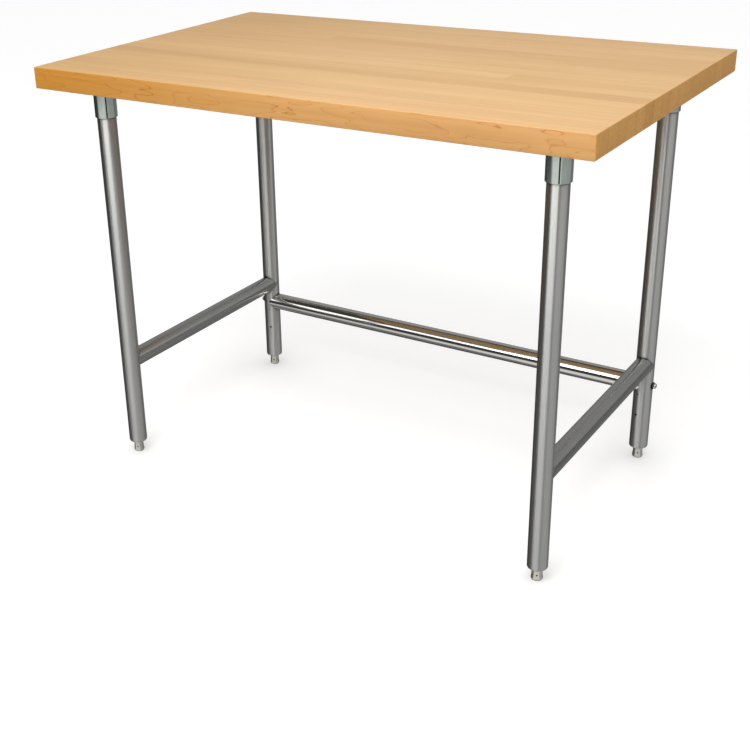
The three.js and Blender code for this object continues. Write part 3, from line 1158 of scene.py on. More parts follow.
@dataclass(frozen=True)
class MetalFinish:
    """Plated, cast or turned metal with worn edges."""

    name: str
    colour: Colour
    roughness: float
    mottle: float
    mottle_scale: float
    wear_radius: float = 0.7 * MM
    pitting: float = 0.2
    # How far and how dark the painted shade in slots and corners is.
    shade_reach: float = 4 * MM
    crevice_shade: float = 0.9
    mottle_detail: float = 4.0
    mottle_roughness: float = 0.6
    mottle_ramp: Ramp = (0.25, 0.75)
    pits_per_patch: float = 14.0
    light_share: float = 0.6
    rough_share: float = 0.6
    worn_gain: float = 1.28
    worn_strength: float = 0.7
    worn_polish: float = -0.08
    relief: float = 0.03 * MM

    def build(self, effects: SharedEffects) -> Material:
        """Builds the material: mottled, faintly pitted, brighter on its edges, and darkened by painted shade
        in its crevices.

        Args:
            effects: The shared groups.

        Returns:
            The material.
        """
        material, bench, shader = new_material(self.name)
        place = bench.place()
        mottle = bench.noise(place, self.mottle_scale, self.mottle_detail, self.mottle_roughness)
        pit_scale = self.mottle_scale * self.pits_per_patch
        grains = bench.noise(place, scale=pit_scale, roughness=self.mottle_roughness)
        dark = scaled(self.colour, 1 - self.mottle)
        light = scaled(self.colour, 1 + self.mottle * self.light_share)
        tone = bench.mix(bench.fade(mottle, *self.mottle_ramp), dark, light)
        wear = bench.group(effects.wear, Radius=self.wear_radius).outputs["Mask"]
        bright = scaled(self.colour, self.worn_gain)
        worn = bench.mix(bench.math("MULTIPLY", wear, self.worn_strength), tone, bright)
        # The base colour carries painted shade in its crevices.
        bench.feed(shader.inputs["Base Color"], shaded_in_crevices(bench, effects, worn, self.shade_reach, self.crevice_shade))
        rough = bench.math("ADD", self.roughness, bench.centred(mottle, self.mottle * self.rough_share))
        rough = bench.math("MULTIPLY_ADD", wear, self.worn_polish, rough)
        bench.feed(shader.inputs["Roughness"], rough)
        bench.feed(shader.inputs["Metallic"], 1.0)
        bump(bench, shader, grains, self.relief, self.pitting)
        return material


@dataclass(frozen=True)
class NylonFinish:
    """Moulded black nylon with a fine dull skin."""

    name: str = "black_nylon"
    dark: Colour = (0.009, 0.009, 0.010, 1.0)
    light: Colour = (0.028, 0.028, 0.030, 1.0)
    roughness: float = 0.55
    skin_scale: float = 2400.0
    skin_roughness: float = 0.1
    cloud_scale: float = 180.0
    cloud_detail: float = 3.0
    wear_radius: float = 0.4 * MM
    share: float = 0.5
    relief: float = 0.03 * MM
    relief_strength: float = 0.3

    def build(self, effects: SharedEffects) -> Material:
        """Builds the material, with its edges rubbed a little paler.

        Args:
            effects: The shared groups.

        Returns:
            The material.
        """
        material, bench, shader = new_material(self.name)
        skin = bench.noise(bench.place(), self.skin_scale)
        cloud = bench.noise(bench.place(), self.cloud_scale, self.cloud_detail)
        wear = bench.group(effects.wear, Radius=self.wear_radius).outputs["Mask"]
        factor = bench.math("MULTIPLY", bench.math("ADD", cloud, wear), self.share)
        bench.feed(shader.inputs["Base Color"], bench.mix(factor, self.dark, self.light))
        rough = bench.math("ADD", self.roughness, bench.centred(skin, self.skin_roughness))
        bench.feed(shader.inputs["Roughness"], rough)
        bump(bench, shader, skin, self.relief, self.relief_strength)
        return material


@dataclass(frozen=True)
class MetalShop:
    """Every metal and nylon finish on the table, built once."""

    leg: Material
    side_rail: Material
    rear_rail: Material
    zinc: Material
    screw: Material
    cast: Material
    foot: Material
    bolt: Material
    nylon: Material

    @classmethod
    def build(cls, effects: SharedEffects) -> "MetalShop":
        """Builds the finishes.

        Args:
            effects: The shared groups.

        Returns:
            The shop with every finish in it.
        """
        stainless = (0.590, 0.592, 0.575, 1.0)
        polished = (0.680, 0.670, 0.640, 1.0)
        dulled = (0.470, 0.472, 0.458, 1.0)
        leg = SteelFinish(
            "brushed_leg", TubeAxis.ALONG_Z, stainless, roughness=0.41, grain=0.10, spread=0.93,
        )
        side_rail = SteelFinish(
            "brushed_side_rail", TubeAxis.ALONG_Y, dulled, roughness=0.22, grain=0.12, spread=0.60,
        )
        rear_rail = SteelFinish(
            "polished_rear_rail", TubeAxis.ALONG_X, polished, roughness=0.11, grain=0.04, spread=0.50,
        )
        zinc = MetalFinish(
            "zinc_plate", (0.595, 0.660, 0.605, 1.0), roughness=0.11, mottle=0.10, mottle_scale=45.0,
        )
        screw = MetalFinish(
            "zinc_screw", (0.560, 0.610, 0.580, 1.0), roughness=0.28, mottle=0.14, mottle_scale=160.0,
        )
        cast = MetalFinish(
            "cast_zinc", (0.600, 0.580, 0.530, 1.0), roughness=0.42, mottle=0.16, mottle_scale=110.0,
            pitting=0.5,
        )
        foot = MetalFinish(
            "foot_steel", (0.690, 0.665, 0.600, 1.0), roughness=0.27, mottle=0.14, mottle_scale=130.0,
        )
        bolt = MetalFinish(
            "bolt_steel", (0.660, 0.670, 0.640, 1.0), roughness=0.22, mottle=0.08, mottle_scale=150.0,
        )
        finishes = (leg, side_rail, rear_rail, zinc, screw, cast, foot, bolt, NylonFinish())
        return cls(*(finish.build(effects) for finish in finishes))


# ---- The studio ---------------------------------------------------------------------------------


@dataclass(frozen=True)
class Panel:
    """A part of the surroundings that bright metal mirrors; its angles are in degrees."""

    azimuth: float
    half_width: float
    bottom: float
    top: float
    brightness: float
    soft_edge: float = 8.0

    def add_to(self, bench: NodeBench, azimuth: Socket, elevation: Socket, light: object) -> Socket:
        """Adds this panel to the light from a direction.

        Args:
            bench: The world's bench.
            azimuth: The direction's azimuth in radians.
            elevation: The direction's elevation in radians.
            light: The light so far.

        Returns:
            The light with this panel's brightness where it stands.
        """
        soft = math.radians(self.soft_edge)
        width = math.radians(self.half_width)
        bottom = math.radians(self.bottom)
        top = math.radians(self.top)
        apart = bench.math("SUBTRACT", azimuth, math.radians(self.azimuth))
        aside = bench.math("ABSOLUTE", bench.math("WRAP", apart, HALF_TURN, -HALF_TURN))
        inside = bench.fade(aside, width + soft, width - soft)
        above = bench.fade(elevation, bottom - soft / 2, bottom + soft / 2)
        below = bench.fade(elevation, top + soft / 2, top - soft / 2)
        inside = bench.math("MULTIPLY", inside, bench.math("MULTIPLY", above, below))
        rest = bench.math("MULTIPLY", light, bench.math("SUBTRACT", 1.0, inside))
        return bench.math("MULTIPLY_ADD", inside, self.brightness, rest)


@dataclass(frozen=True)
class Studio:
    """A plain pale floor in soft light, with the camera above the table's front right."""

    camera_place: tuple[float, float, float] = (1.2726, -2.1625, 1.4077)
    camera_azimuth: float = 34.29
    camera_elevation: float = 24.04
    camera_roll: float = -1.884
    camera_lens: float = 58.34
    camera_shift: tuple[float, float] = (0.0874, -0.0440)
    floor_reach: float = 40.0
    floor_white: Colour = (0.66, 0.66, 0.66, 1.0)
    floor_seen: Colour = (0.60, 0.60, 0.60, 1.0)
    floor_glow: float = 0.56
    floor_roughness: float = 0.9
    # The painted contact shadow on the floor: its samples, reach, where it starts and how deep it is.
    contact_samples: int = 8
    contact_reach: float = 0.16
    contact_from: float = 0.75
    contact_shade: float = 0.16
    sky_light: float = 0.665
    backdrop_light: float = 0.985
    mirror_base: float = 0.05
    panels: tuple[Panel, ...] = (
        Panel(azimuth=-87, half_width=50, bottom=-44, top=-19, brightness=0.58, soft_edge=8),
        Panel(azimuth=4, half_width=44, bottom=-100, top=-2, brightness=0.36, soft_edge=12),
        Panel(azimuth=90, half_width=42, bottom=-100, top=-2, brightness=0.22, soft_edge=14),
        Panel(azimuth=-92, half_width=36, bottom=-70, top=-25, brightness=0.88, soft_edge=10),
        Panel(azimuth=4, half_width=46, bottom=-100, top=-25, brightness=0.47, soft_edge=12),
        Panel(azimuth=-160, half_width=28, bottom=-80, top=-25, brightness=0.20, soft_edge=10),
        Panel(azimuth=95, half_width=60, bottom=2, top=56, brightness=0.36),
        Panel(azimuth=-5, half_width=42, bottom=14, top=56, brightness=1.50),
        Panel(azimuth=-20, half_width=70, bottom=56, top=100, brightness=0.60),
        Panel(azimuth=-121, half_width=12, bottom=14, top=31, brightness=1.9, soft_edge=5),
    )
    key_size: tuple[float, float] = (2.2, 1.6)
    key_power: float = 83.0
    key_place: tuple[float, float, float] = (0.48, -2.15, 3.5)
    key_aim: tuple[float, float, float] = (0.0, 0.0, 0.6)
    mirror_size: tuple[float, float] = (2.7, 2.6)
    mirror_power: float = 74.0
    mirror_place: tuple[float, float, float] = (0.30, -2.4, 2.25)

    def build(self) -> None:
        """Sets up the camera, the lights and the floor."""
        self.camera()
        self.world()
        self.lights()
        self.floor()
        bpy.context.scene.view_settings.view_transform = "Standard"

    def camera(self) -> None:
        """Stands the camera up and makes it the scene's own."""
        azimuth = math.radians(self.camera_azimuth)
        elevation = math.radians(self.camera_elevation)
        back = Vector((
            math.sin(azimuth) * math.cos(elevation), -math.cos(azimuth) * math.cos(elevation),
            math.sin(elevation),
        ))
        level = Vector((0, 0, 1)).cross(back).normalized()
        above = back.cross(level)
        roll = math.radians(self.camera_roll)
        right = level * math.cos(roll) + above * math.sin(roll)
        upward = above * math.cos(roll) - level * math.sin(roll)
        camera = bpy.data.objects.new("camera", bpy.data.cameras.new("camera"))
        camera.data.lens = self.camera_lens
        camera.data.shift_x, camera.data.shift_y = self.camera_shift
        camera.data.clip_end = 2 * self.floor_reach
        turn = Matrix((right, upward, back)).transposed()
        camera.matrix_world = Matrix.Translation(self.camera_place) @ turn.to_4x4()
        bpy.context.scene.collection.objects.link(camera)
        bpy.context.scene.camera = camera

    def world(self) -> None:
        """Surroundings: white behind, even light on dull surfaces, and panels for metal to mirror."""
        world = bpy.data.worlds.new("studio")
        bpy.context.scene.world = world
        world.use_nodes = True
        bench = NodeBench(world.node_tree)
        background = world.node_tree.nodes["Background"]
        direction = bench.node("ShaderNodeSeparateXYZ")
        bench.feed(direction.inputs[0], bench.node("ShaderNodeTexCoord").outputs["Generated"])
        azimuth = bench.math("ARCTAN2", direction.outputs["Y"], direction.outputs["X"])
        elevation = bench.math("ARCSINE", direction.outputs["Z"])
        mirrored: object = self.mirror_base
        for panel in self.panels:
            mirrored = panel.add_to(bench, azimuth, elevation, mirrored)
        rays = bench.node("ShaderNodeLightPath").outputs
        strength = self.choose(bench, rays["Is Glossy Ray"], self.sky_light, mirrored)
        strength = self.choose(bench, rays["Is Camera Ray"], strength, self.backdrop_light)
        bench.feed(background.inputs["Color"], WHITE)
        bench.feed(background.inputs["Strength"], strength)

    @staticmethod
    def choose(bench: NodeBench, test: Socket, otherwise: object, chosen: object) -> Socket:
        """One value where the test is 1, and another where it is 0."""
        kept = bench.math("MULTIPLY", otherwise, bench.math("SUBTRACT", 1.0, test))
        return bench.math("MULTIPLY_ADD", chosen, test, kept)

    def lamp(self, name: str, size: Sequence[float], power: float, place: Vector,
             aim: Vector) -> bpy.types.Object:
        """Hangs a rectangular light.

        Args:
            name: The light's name.
            size: Its width and height.
            power: Its power in watts.
            place: Where its middle is.
            aim: The point that it faces.

        Returns:
            The light, which no camera sees.
        """
        data = bpy.data.lights.new(name, "AREA")
        data.shape = "RECTANGLE"
        data.size, data.size_y = size
        data.energy = power
        made = bpy.data.objects.new(name, data)
        facing = (aim - place).to_track_quat("-Z", "Y").to_matrix().to_4x4()
        made.matrix_world = Matrix.Translation(place) @ facing
        made.visible_camera = False
        bpy.context.scene.collection.objects.link(made)
        return made

    def lights(self) -> None:
        """A soft light above the front of the table, and an upright panel that only metal mirrors."""
        above = Vector(self.key_place)
        key = self.lamp("key_light", self.key_size, self.key_power, above, Vector(self.key_aim))
        key.visible_glossy = False
        place = Vector(self.mirror_place)
        level = Vector((place.x, 0, place.z))
        panel = self.lamp("mirror_panel", self.mirror_size, self.mirror_power, place, level)
        panel.visible_diffuse = False

    def floor(self) -> None:
        """A white floor with painted contact shadows round the feet, open to a camera under it and left out
        of the metal's reflections.
        """
        shape = bmesh.new()
        bmesh.ops.create_grid(shape, x_segments=1, y_segments=1, size=self.floor_reach)
        ground = mesh_object(shape, "floor")
        material, bench, shader = new_material("floor_white")
        nodes = material.node_tree.nodes
        camera_ray = bench.node("ShaderNodeLightPath").outputs["Is Camera Ray"]
        # Ambient occlusion darkens the floor's colour and glow near the feet: a painted contact shadow.
        shut_in = bench.node("ShaderNodeAmbientOcclusion", samples=self.contact_samples)
        bench.feed(shut_in.inputs["Distance"], self.contact_reach)
        lit = bench.fade(shut_in.outputs["AO"], self.contact_from, 1.0, 1 - self.contact_shade, 1.0)
        white = bench.mix(camera_ray, self.floor_white, self.floor_seen)
        bench.feed(shader.inputs["Base Color"], bench.mix(1.0, white, lit, "MULTIPLY"))
        bench.feed(shader.inputs["Roughness"], self.floor_roughness)
        bench.feed(shader.inputs["Emission Color"], WHITE)
        glow = bench.math("MULTIPLY", lit, self.floor_glow)
        bench.feed(shader.inputs["Emission Strength"], bench.math("MULTIPLY", camera_ray, glow))
        from_below = bench.node("ShaderNodeMixShader")
        bench.feed(from_below.inputs[0], bench.node("ShaderNodeNewGeometry").outputs["Backfacing"])
        bench.feed(from_below.inputs[1], shader.outputs["BSDF"])
        bench.feed(from_below.inputs[2], bench.node("ShaderNodeBsdfTransparent").outputs["BSDF"])
        bench.feed(nodes["Material Output"].inputs["Surface"], from_below.outputs["Shader"])
        ground.data.materials.append(material)
        ground.visible_glossy = False


# ---- The top ------------------------------------------------------------------------------------


@dataclass(frozen=True)
class MapleTop:
    """The laminated top: maple staves on edge, glued side by side and eased round the outside."""

    effects: SharedEffects
    ease: float = 2 * MM
    ease_segments: int = 5
    pilot_radius: float = 2.6 * MM
    seed_start: float = 3.7
    seed_step: float = 11.3
    woods: tuple[StaveWood, ...] = (
        StaveWood((112 * MM, 4 * MM), sway=9 * MM, ring=2.2 * MM, ripple=8 * MM, depth=0.23, figure=1.2),
        StaveWood((6 * MM, -70 * MM), depth=0.20, fleck=0.9, figure=0.16),
        StaveWood((-14 * MM, 46 * MM), depth=0.27, figure=0.24, sway=14 * MM),
        StaveWood((60 * MM, 30 * MM), depth=0.14, figure=0.16),
        StaveWood((-44 * MM, -60 * MM), depth=0.20, figure=0.20),
        StaveWood((30 * MM, 90 * MM), depth=0.40, figure=0.22, glue_back=0.55),
        StaveWood((-64 * MM, 20 * MM), depth=0.20, figure=0.18, glue_front=0.55),
        StaveWood((18 * MM, -50 * MM), depth=0.13, figure=0.20, butt=0.31),
        StaveWood((50 * MM, 52 * MM), depth=0.17, figure=0.18),
        StaveWood((-26 * MM, -82 * MM), depth=0.18, figure=0.20, fleck=0.4),
        StaveWood((80 * MM, -12 * MM), depth=0.24, figure=0.20),
        StaveWood((-12 * MM, 60 * MM), depth=0.26, figure=0.22),
        StaveWood((36 * MM, -66 * MM), depth=0.19, figure=0.18, butt=-0.22),
        StaveWood((-58 * MM, 44 * MM), depth=0.26, figure=0.20, glue_back=0.95),
        StaveWood((22 * MM, 78 * MM), depth=0.24, figure=0.20, glue_front=0.95, glue_back=0.95),
        StaveWood((-70 * MM, -36 * MM), depth=0.30, figure=0.18, glue_front=0.95),
        StaveWood((40 * MM, 58 * MM), depth=0.26, figure=0.20),
    )

    def build(self) -> None:
        """Makes every stave, front to back."""
        screws = [Span.of(node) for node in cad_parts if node.startswith("flange_screw")]
        for index, wood in enumerate(self.woods):
            node = f"stave_{index + 1:02d}"
            span = Span.of(node)
            seed = self.seed_start + self.seed_step * index
            finish = MapleFinish(f"maple_{node}", wood, span, seed)
            pilots = [self.pilot(screw) for screw in screws if self.meets(screw, span)]
            Handover(node, Slot.MAPLE, finish.build(self.effects)).piece(self.stave(span), cuts=pilots)

    def stave(self, span: Span) -> Shape:
        """One stave, split from the eased slab.

        Args:
            span: The stave's box.

        Returns:
            The stave, with the slab's easing on its outside edges only.
        """
        low, high = CAD_BOX
        thick = span.size.z
        slab = eased(block((low[0], low[1], high[2] - thick), high), self.ease, self.ease_segments)
        for side, place in ((-1, span.low.y), (1, span.high.y)):
            if min(abs(place - low[1]), abs(place - high[1])) < MERGE_DISTANCE:
                continue
            geometry = list(slab.verts) + list(slab.edges) + list(slab.faces)
            cut = bmesh.ops.bisect_plane(
                slab, geom=geometry, dist=MERGE_DISTANCE, plane_co=(0, place, 0), plane_no=(0, side, 0),
                clear_outer=True,
            )
            rim = [item for item in cut["geom_cut"] if isinstance(item, bmesh.types.BMEdge)]
            bmesh.ops.edgenet_fill(slab, edges=rim)
        return closed(slab)

    def pilot(self, screw: Span) -> Shape:
        """The hole that a flange screw is driven into."""
        hole = bar(self.pilot_radius, screw.low.z, screw.high.z + CLEARANCE, HOLE_SIDES)
        return moved(hole, Matrix.Translation((screw.middle.x, screw.middle.y, 0)))

    def meets(self, screw: Span, stave: Span) -> bool:
        """True if a screw's hole reaches into a stave."""
        return stave.low.y - self.pilot_radius < screw.middle.y < stave.high.y + self.pilot_radius


# ---- Legs ---------------------------------------------------------------------------------------


@dataclass(frozen=True)
class SpareHole:
    """An unused hole drilled square through one wall of a leg."""

    height: float
    radius: float
    turn: float


@dataclass(frozen=True)
class Leg:
    """A leg of stainless tube; the rear ones are drilled for the rail bolt."""

    corner: Corner
    material: Material
    wall: float = TUBE_WALL
    rim_ease: float = 0.35 * MM
    bolt_hole_radius: float = 4.6 * MM
    front_holes: tuple[SpareHole, ...] = (
        SpareHole(166 * MM, 1.9 * MM, math.radians(14)), SpareHole(115 * MM, 3 * MM, math.radians(16)),
    )
    side_hole: SpareHole = SpareHole(240 * MM, 2.4 * MM, 0.0)
    row_margin: float = 1.5

    def build(self) -> None:
        """Makes the leg and drills it."""
        node = f"leg_{self.corner.value}"
        span = Span.of(node)
        outer = span.size.x / 2
        inner = outer - self.wall
        shape = eased(lathe((
            (inner, span.low.z), (outer, span.low.z), (outer, span.high.z), (inner, span.high.z),
        ), SMOOTH_SIDES), self.rim_ease)
        place = Vector((span.middle.x, span.middle.y, 0))
        drills = []
        if self.corner.is_rear:
            for hole, direction, both_walls in self.holes():
                self.add_rows(shape, hole)
                start = -outer - OVERCUT if both_walls else 0.0
                drill = bar(hole.radius, start, outer + OVERCUT, HOLE_SIDES)
                drills.append(moved(drill, pointing(direction, place + Vector((0, 0, hole.height)))))
        moved(shape, Matrix.Translation(place))
        Handover(node, Slot.BRUSHED_STAINLESS, self.material).piece(shape, cuts=drills)

    def holes(self) -> list[tuple[SpareHole, Vector, bool]]:
        """Every hole with its direction from the leg's axis, and whether it goes through both walls.

        Returns:
            The bolt's hole first, then the spare ones.
        """
        inward = -self.corner.side
        rail = Span.of("rear_rail")
        bolt = SpareHole(rail.middle.z, self.bolt_hole_radius, 0.0)
        found = [(bolt, Vector((1, 0, 0)), True), (self.side_hole, Vector((inward, 0, 0)), False)]
        for hole in self.front_holes:
            direction = Vector((inward * math.sin(hole.turn), -math.cos(hole.turn), 0))
            found.append((hole, direction, False))
        return found

    def add_rows(self, shape: Shape, hole: SpareHole) -> None:
        """Adds a row of edges above and below a hole, so that the faces round it stay small.

        Args:
            shape: The leg about its own axis.
            hole: The hole.
        """
        for side in (-1, 1):
            geometry = list(shape.verts) + list(shape.edges) + list(shape.faces)
            height = hole.height + side * hole.radius * self.row_margin
            bmesh.ops.bisect_plane(
                shape, geom=geometry, dist=MERGE_DISTANCE, plane_co=(0, 0, height), plane_no=(0, 0, 1),
            )


# ---- Rails --------------------------------------------------------------------------------------


@dataclass(frozen=True)
class Rail:
    """A rail of the same tube, with each end saddled over a leg."""

    node: str
    axis: TubeAxis
    slot: Slot
    material: Material
    wall: float = TUBE_WALL
    row_step: float = 60 * MM

    def build(self) -> None:
        """Makes the rail and cuts its saddles."""
        span = Span.of(self.node)
        leg = Span.of("leg_rear_right")
        outer = leg.size.x / 2
        inner = outer - self.wall
        reach = leg.middle[self.axis.value]
        inside = rows(-reach, reach, self.row_step)
        profile = [(outer, height) for height in inside] + [(inner, height) for height in reversed(inside)]
        shape = lathe(profile, SMOOTH_SIDES)
        self.saddle(shape, reach, outer + CLEARANCE)
        across, upward, along = self.directions()
        turn = Matrix((across, upward, along)).transposed().to_4x4()
        middle = span.middle.copy()
        middle[self.axis.value] = 0
        moved(shape, Matrix.Translation(middle) @ turn)
        Handover(self.node, self.slot, self.material).piece(shape)

    def directions(self) -> tuple[Vector, Vector, Vector]:
        """The rail's own directions on the table.

        Returns:
            Across, up and along.
        """
        along = Vector((1, 0, 0)) if self.axis is TubeAxis.ALONG_X else Vector((0, 1, 0))
        upward = Vector((0, 0, 1))
        return upward.cross(along), upward, along

    def saddle(self, shape: Shape, reach: float, cope: float) -> None:
        """Draws each end back to a saddle round an upright leg.

        Args:
            shape: The rail about its own Z, with its ends on the legs' axes.
            reach: Half the distance between the legs' axes.
            cope: The saddle's radius.
        """
        for corner in shape.verts:
            if abs(abs(corner.co.z) - reach) < MERGE_DISTANCE:
                depth = math.sqrt(cope ** 2 - corner.co.x ** 2)
                corner.co.z = math.copysign(reach - depth, corner.co.z)


# ---- Leg sockets --------------------------------------------------------------------------------


@dataclass(frozen=True)
class LegSocket:
    """A split collar under a round flange, with its set screw in a boss and three flange screws."""

    corner: Corner
    zinc: Material
    screw: Material
    collar_radius: float = 23.8 * MM
    slot_width: float = 2.8 * MM
    fillet: float = 2.4 * MM
    fillet_steps: int = 5
    edge_ease: float = 0.6 * MM
    flange_ease: float = 0.7 * MM
    flange_thickness: float = 3 * MM
    flange_overlap: float = 1 * MM
    boss_radius: float = 8 * MM
    boss_reach: float = 28.5 * MM
    boss_ease: float = 0.9 * MM
    tapping_radius: float = 4.3 * MM
    flange_screws: int = 3
    flange_hole_radius: float = 2.6 * MM

    def build(self) -> None:
        """Makes the socket, its set screw and its flange screws."""
        node = f"leg_socket_{self.corner.value}"
        leg = Span.of(f"leg_{self.corner.value}")
        span = Span.of(node)
        set_screw = Span.of(f"set_screw_{self.corner.value}")
        place = Vector((leg.middle.x, leg.middle.y, 0))
        toward = set_screw.middle - leg.middle
        toward.z = 0
        boss_way = toward.normalized()
        bore = leg.size.x / 2 + CLEARANCE
        collar = self.collar(bore, span, math.atan2(-boss_way.y, -boss_way.x))
        flange = self.flange(span)
        boss = self.boss(bore, set_screw, boss_way, place)
        cuts = [self.tapping(set_screw, boss_way, place)]
        screws = [f"flange_screw_{self.corner.value}_{index + 1}" for index in range(self.flange_screws)]
        cuts += [self.screw_hole(Span.of(screw), span) for screw in screws]
        centre = Matrix.Translation(place)
        joins = [moved(flange, centre), boss]
        Handover(node, Slot.ZINC_PLATE, self.zinc).piece(moved(collar, centre), joins=joins, cuts=cuts)
        SetScrew(self.corner, self.screw).build(boss_way, place, bore)
        for screw in screws:
            FlangeScrew(screw, self.screw).build()

    def screw_hole(self, screw: Span, span: Span) -> Shape:
        """The hole in the flange for one flange screw.

        Args:
            screw: The screw's box.
            span: The socket's box.

        Returns:
            The hole, in place.
        """
        bottom = span.high.z - 2 * self.flange_thickness
        hole = bar(self.flange_hole_radius, bottom, span.high.z + OVERCUT, HOLE_SIDES)
        return moved(hole, Matrix.Translation((screw.middle.x, screw.middle.y, 0)))

    def collar(self, bore: float, span: Span, slot_way: float) -> Shape:
        """The split collar with a fillet that runs out into the flange.

        Args:
            bore: The radius that the leg goes into.
            span: The socket's box.
            slot_way: The direction of the slot as an angle from +X.

        Returns:
            The collar about the leg's axis.
        """
        flange_bottom = span.high.z - self.flange_thickness
        root = (self.collar_radius + self.fillet, flange_bottom - self.fillet)
        curve = arc(root, self.fillet, HALF_TURN, QUARTER_TURN, self.fillet_steps)
        overlap = flange_bottom + self.flange_overlap
        profile = [
            (bore, span.low.z), (self.collar_radius, span.low.z), *curve,
            (self.collar_radius + self.fillet, overlap), (bore, overlap),
        ]
        half_slot = math.asin(self.slot_width / 2 / self.collar_radius)
        shape = lathe(profile, SMOOTH_SIDES, FULL_TURN - 2 * half_slot)
        eased(shape, self.edge_ease, wanted=lambda edge: self.is_collar_edge(edge, flange_bottom))
        return moved(shape, Matrix.Rotation(slot_way + half_slot, 4, "Z"))

    def is_collar_edge(self, edge: bmesh.types.BMEdge, flange_bottom: float) -> bool:
        """True for the collar's edges that stay clear of its fillet."""
        limit = flange_bottom - self.fillet + MERGE_DISTANCE
        return all(corner.co.z < limit for corner in edge.verts)

    def flange(self, span: Span) -> Shape:
        """The round flange that closes the socket's top.

        Args:
            span: The socket's box.

        Returns:
            The flange about the leg's axis.
        """
        radius = span.size.x / 2
        bottom = span.high.z - self.flange_thickness
        return eased(lathe((
            (0, bottom), (radius, bottom), (radius, span.high.z), (0, span.high.z),
        ), SMOOTH_SIDES), self.flange_ease)

    def boss(self, bore: float, set_screw: Span, way: Vector, place: Vector) -> Shape:
        """The round boss on the collar that the set screw is tapped through.

        Args:
            bore: The radius that the leg goes into.
            set_screw: The set screw's box.
            way: The direction of the boss from the leg's axis.
            place: The leg's axis on the floor.

        Returns:
            The boss, in place.
        """
        shape = bar(self.boss_radius, bore + CLEARANCE, self.boss_reach, SMALL_SIDES)
        eased(shape, self.boss_ease, wanted=self.is_boss_edge)
        return moved(shape, pointing(way, place + Vector((0, 0, set_screw.middle.z))))

    def is_boss_edge(self, edge: bmesh.types.BMEdge) -> bool:
        """True for the edges round the boss's outer end."""
        return all(corner.co.z > self.boss_reach - MERGE_DISTANCE for corner in edge.verts)

    def tapping(self, set_screw: Span, way: Vector, place: Vector) -> Shape:
        """The tapped hole through the boss and the collar's wall."""
        hole = bar(self.tapping_radius, 0, self.collar_radius + 2 * self.boss_radius, HOLE_SIDES)
        return moved(hole, pointing(way, place + Vector((0, 0, set_screw.middle.z))))


@dataclass(frozen=True)
class SetScrew:
    """A set screw: a threaded stub with a cupped point and a hexagon socket."""

    corner: Corner
    material: Material
    length: float = 11 * MM
    chamfer: float = 0.5 * MM
    pitch: float = 1.25 * MM
    thread_depth: float = 0.625 * MM
    turn_rows: int = 5
    socket_size: float = 4 * MM
    socket_depth: float = 4 * MM

    def build(self, way: Vector, place: Vector, bore: float) -> None:
        """Makes the set screw.

        Args:
            way: The direction of its boss from the leg's axis.
            place: The leg's axis on the floor.
            bore: The radius that its point touches.
        """
        node = f"set_screw_{self.corner.value}"
        span = Span.of(node)
        radius = span.size.z / 2
        end = bore + self.length
        low = bore + self.chamfer
        high = end - self.chamfer
        outer = [(radius, height) for height in rows(low, high, self.pitch / self.turn_rows)]
        shape = lathe((
            (0, bore + self.chamfer / 2), (radius - 2 * self.chamfer, bore), *outer,
            (radius - self.chamfer, end), (0, end),
        ), SMALL_SIDES)
        threaded(shape, self.pitch, self.thread_depth, low, high)
        corner_radius = self.socket_size / math.sqrt(3)
        socket = bar(corner_radius, end - self.socket_depth, end + OVERCUT, HEXAGON)
        turn = pointing(way, place + Vector((0, 0, span.middle.z)))
        Handover(node, Slot.ZINC_PLATE, self.material).piece(moved(shape, turn), cuts=[moved(socket, turn)])


@dataclass(frozen=True)
class FlangeScrew:
    """A pan head wood screw with a cross recess, driven up through a flange into the top."""

    node: str
    material: Material
    head_height: float = 2.6 * MM
    head_rim: float = 1.0 * MM
    shank_radius: float = 2.3 * MM
    point_length: float = 5 * MM
    point_steps: int = 8
    pitch: float = 2 * MM
    thread_depth: float = 0.7 * MM
    turn_rows: int = 6
    dome_steps: int = 6
    recess_reach: float = 2.1 * MM
    recess_width: float = 0.9 * MM
    recess_depth: float = 1.7 * MM
    recess_taper: float = 0.6

    def build(self) -> None:
        """Makes the screw, thread and recess."""
        span = Span.of(self.node)
        head_radius = span.size.x / 2
        head_top = span.low.z + self.head_height
        tip = span.high.z
        shoulder = tip - self.point_length
        crown = self.dome(head_radius, span.low.z, head_top - self.head_rim)
        thread_start = head_top + self.pitch
        heights = rows(thread_start, shoulder, self.pitch / self.turn_rows)
        shank = [(self.shank_radius, height) for height in heights]
        shares = [step / self.point_steps for step in range(1, self.point_steps)]
        point = [(self.shank_radius * (1 - part), shoulder + self.point_length * part) for part in shares]
        shape = lathe((
            *crown, (head_radius, head_top), (self.shank_radius, head_top), *shank, *point, (0, tip),
        ), HOLE_SIDES)
        threaded(shape, self.pitch, self.thread_depth, thread_start, shoulder)
        place = Matrix.Translation((span.middle.x, span.middle.y, 0))
        Handover(self.node, Slot.ZINC_PLATE, self.material).piece(
            moved(shape, place), cuts=[moved(blade, place) for blade in self.recess(span.low.z)],
        )

    def dome(self, radius: float, crown: float, rim: float) -> list[tuple[float, float]]:
        """The head's outline, from its crown on the axis out to its rim."""
        angles = [QUARTER_TURN * step / self.dome_steps for step in range(self.dome_steps + 1)]
        return [(radius * math.sin(angle), rim - (rim - crown) * math.cos(angle)) for angle in angles]

    def recess(self, crown: float) -> list[Shape]:
        """The two crossed blades that sink the recess, narrower towards its floor.

        Args:
            crown: The height of the head's crown.

        Returns:
            The blades about the screw's axis.
        """
        blades = []
        half = self.recess_width / 2
        taper = (self.recess_taper, self.recess_taper, 1)
        for x, y in ((self.recess_reach, half), (half, self.recess_reach)):
            blade = block((-x, -y, crown - OVERCUT), (x, y, crown + self.recess_depth))
            floor = [corner for corner in blade.verts if corner.co.z > crown]
            bmesh.ops.scale(blade, vec=taper, verts=floor, space=Matrix.Identity(4))
            blades.append(blade)
        return blades


# ---- Feet ---------------------------------------------------------------------------------------


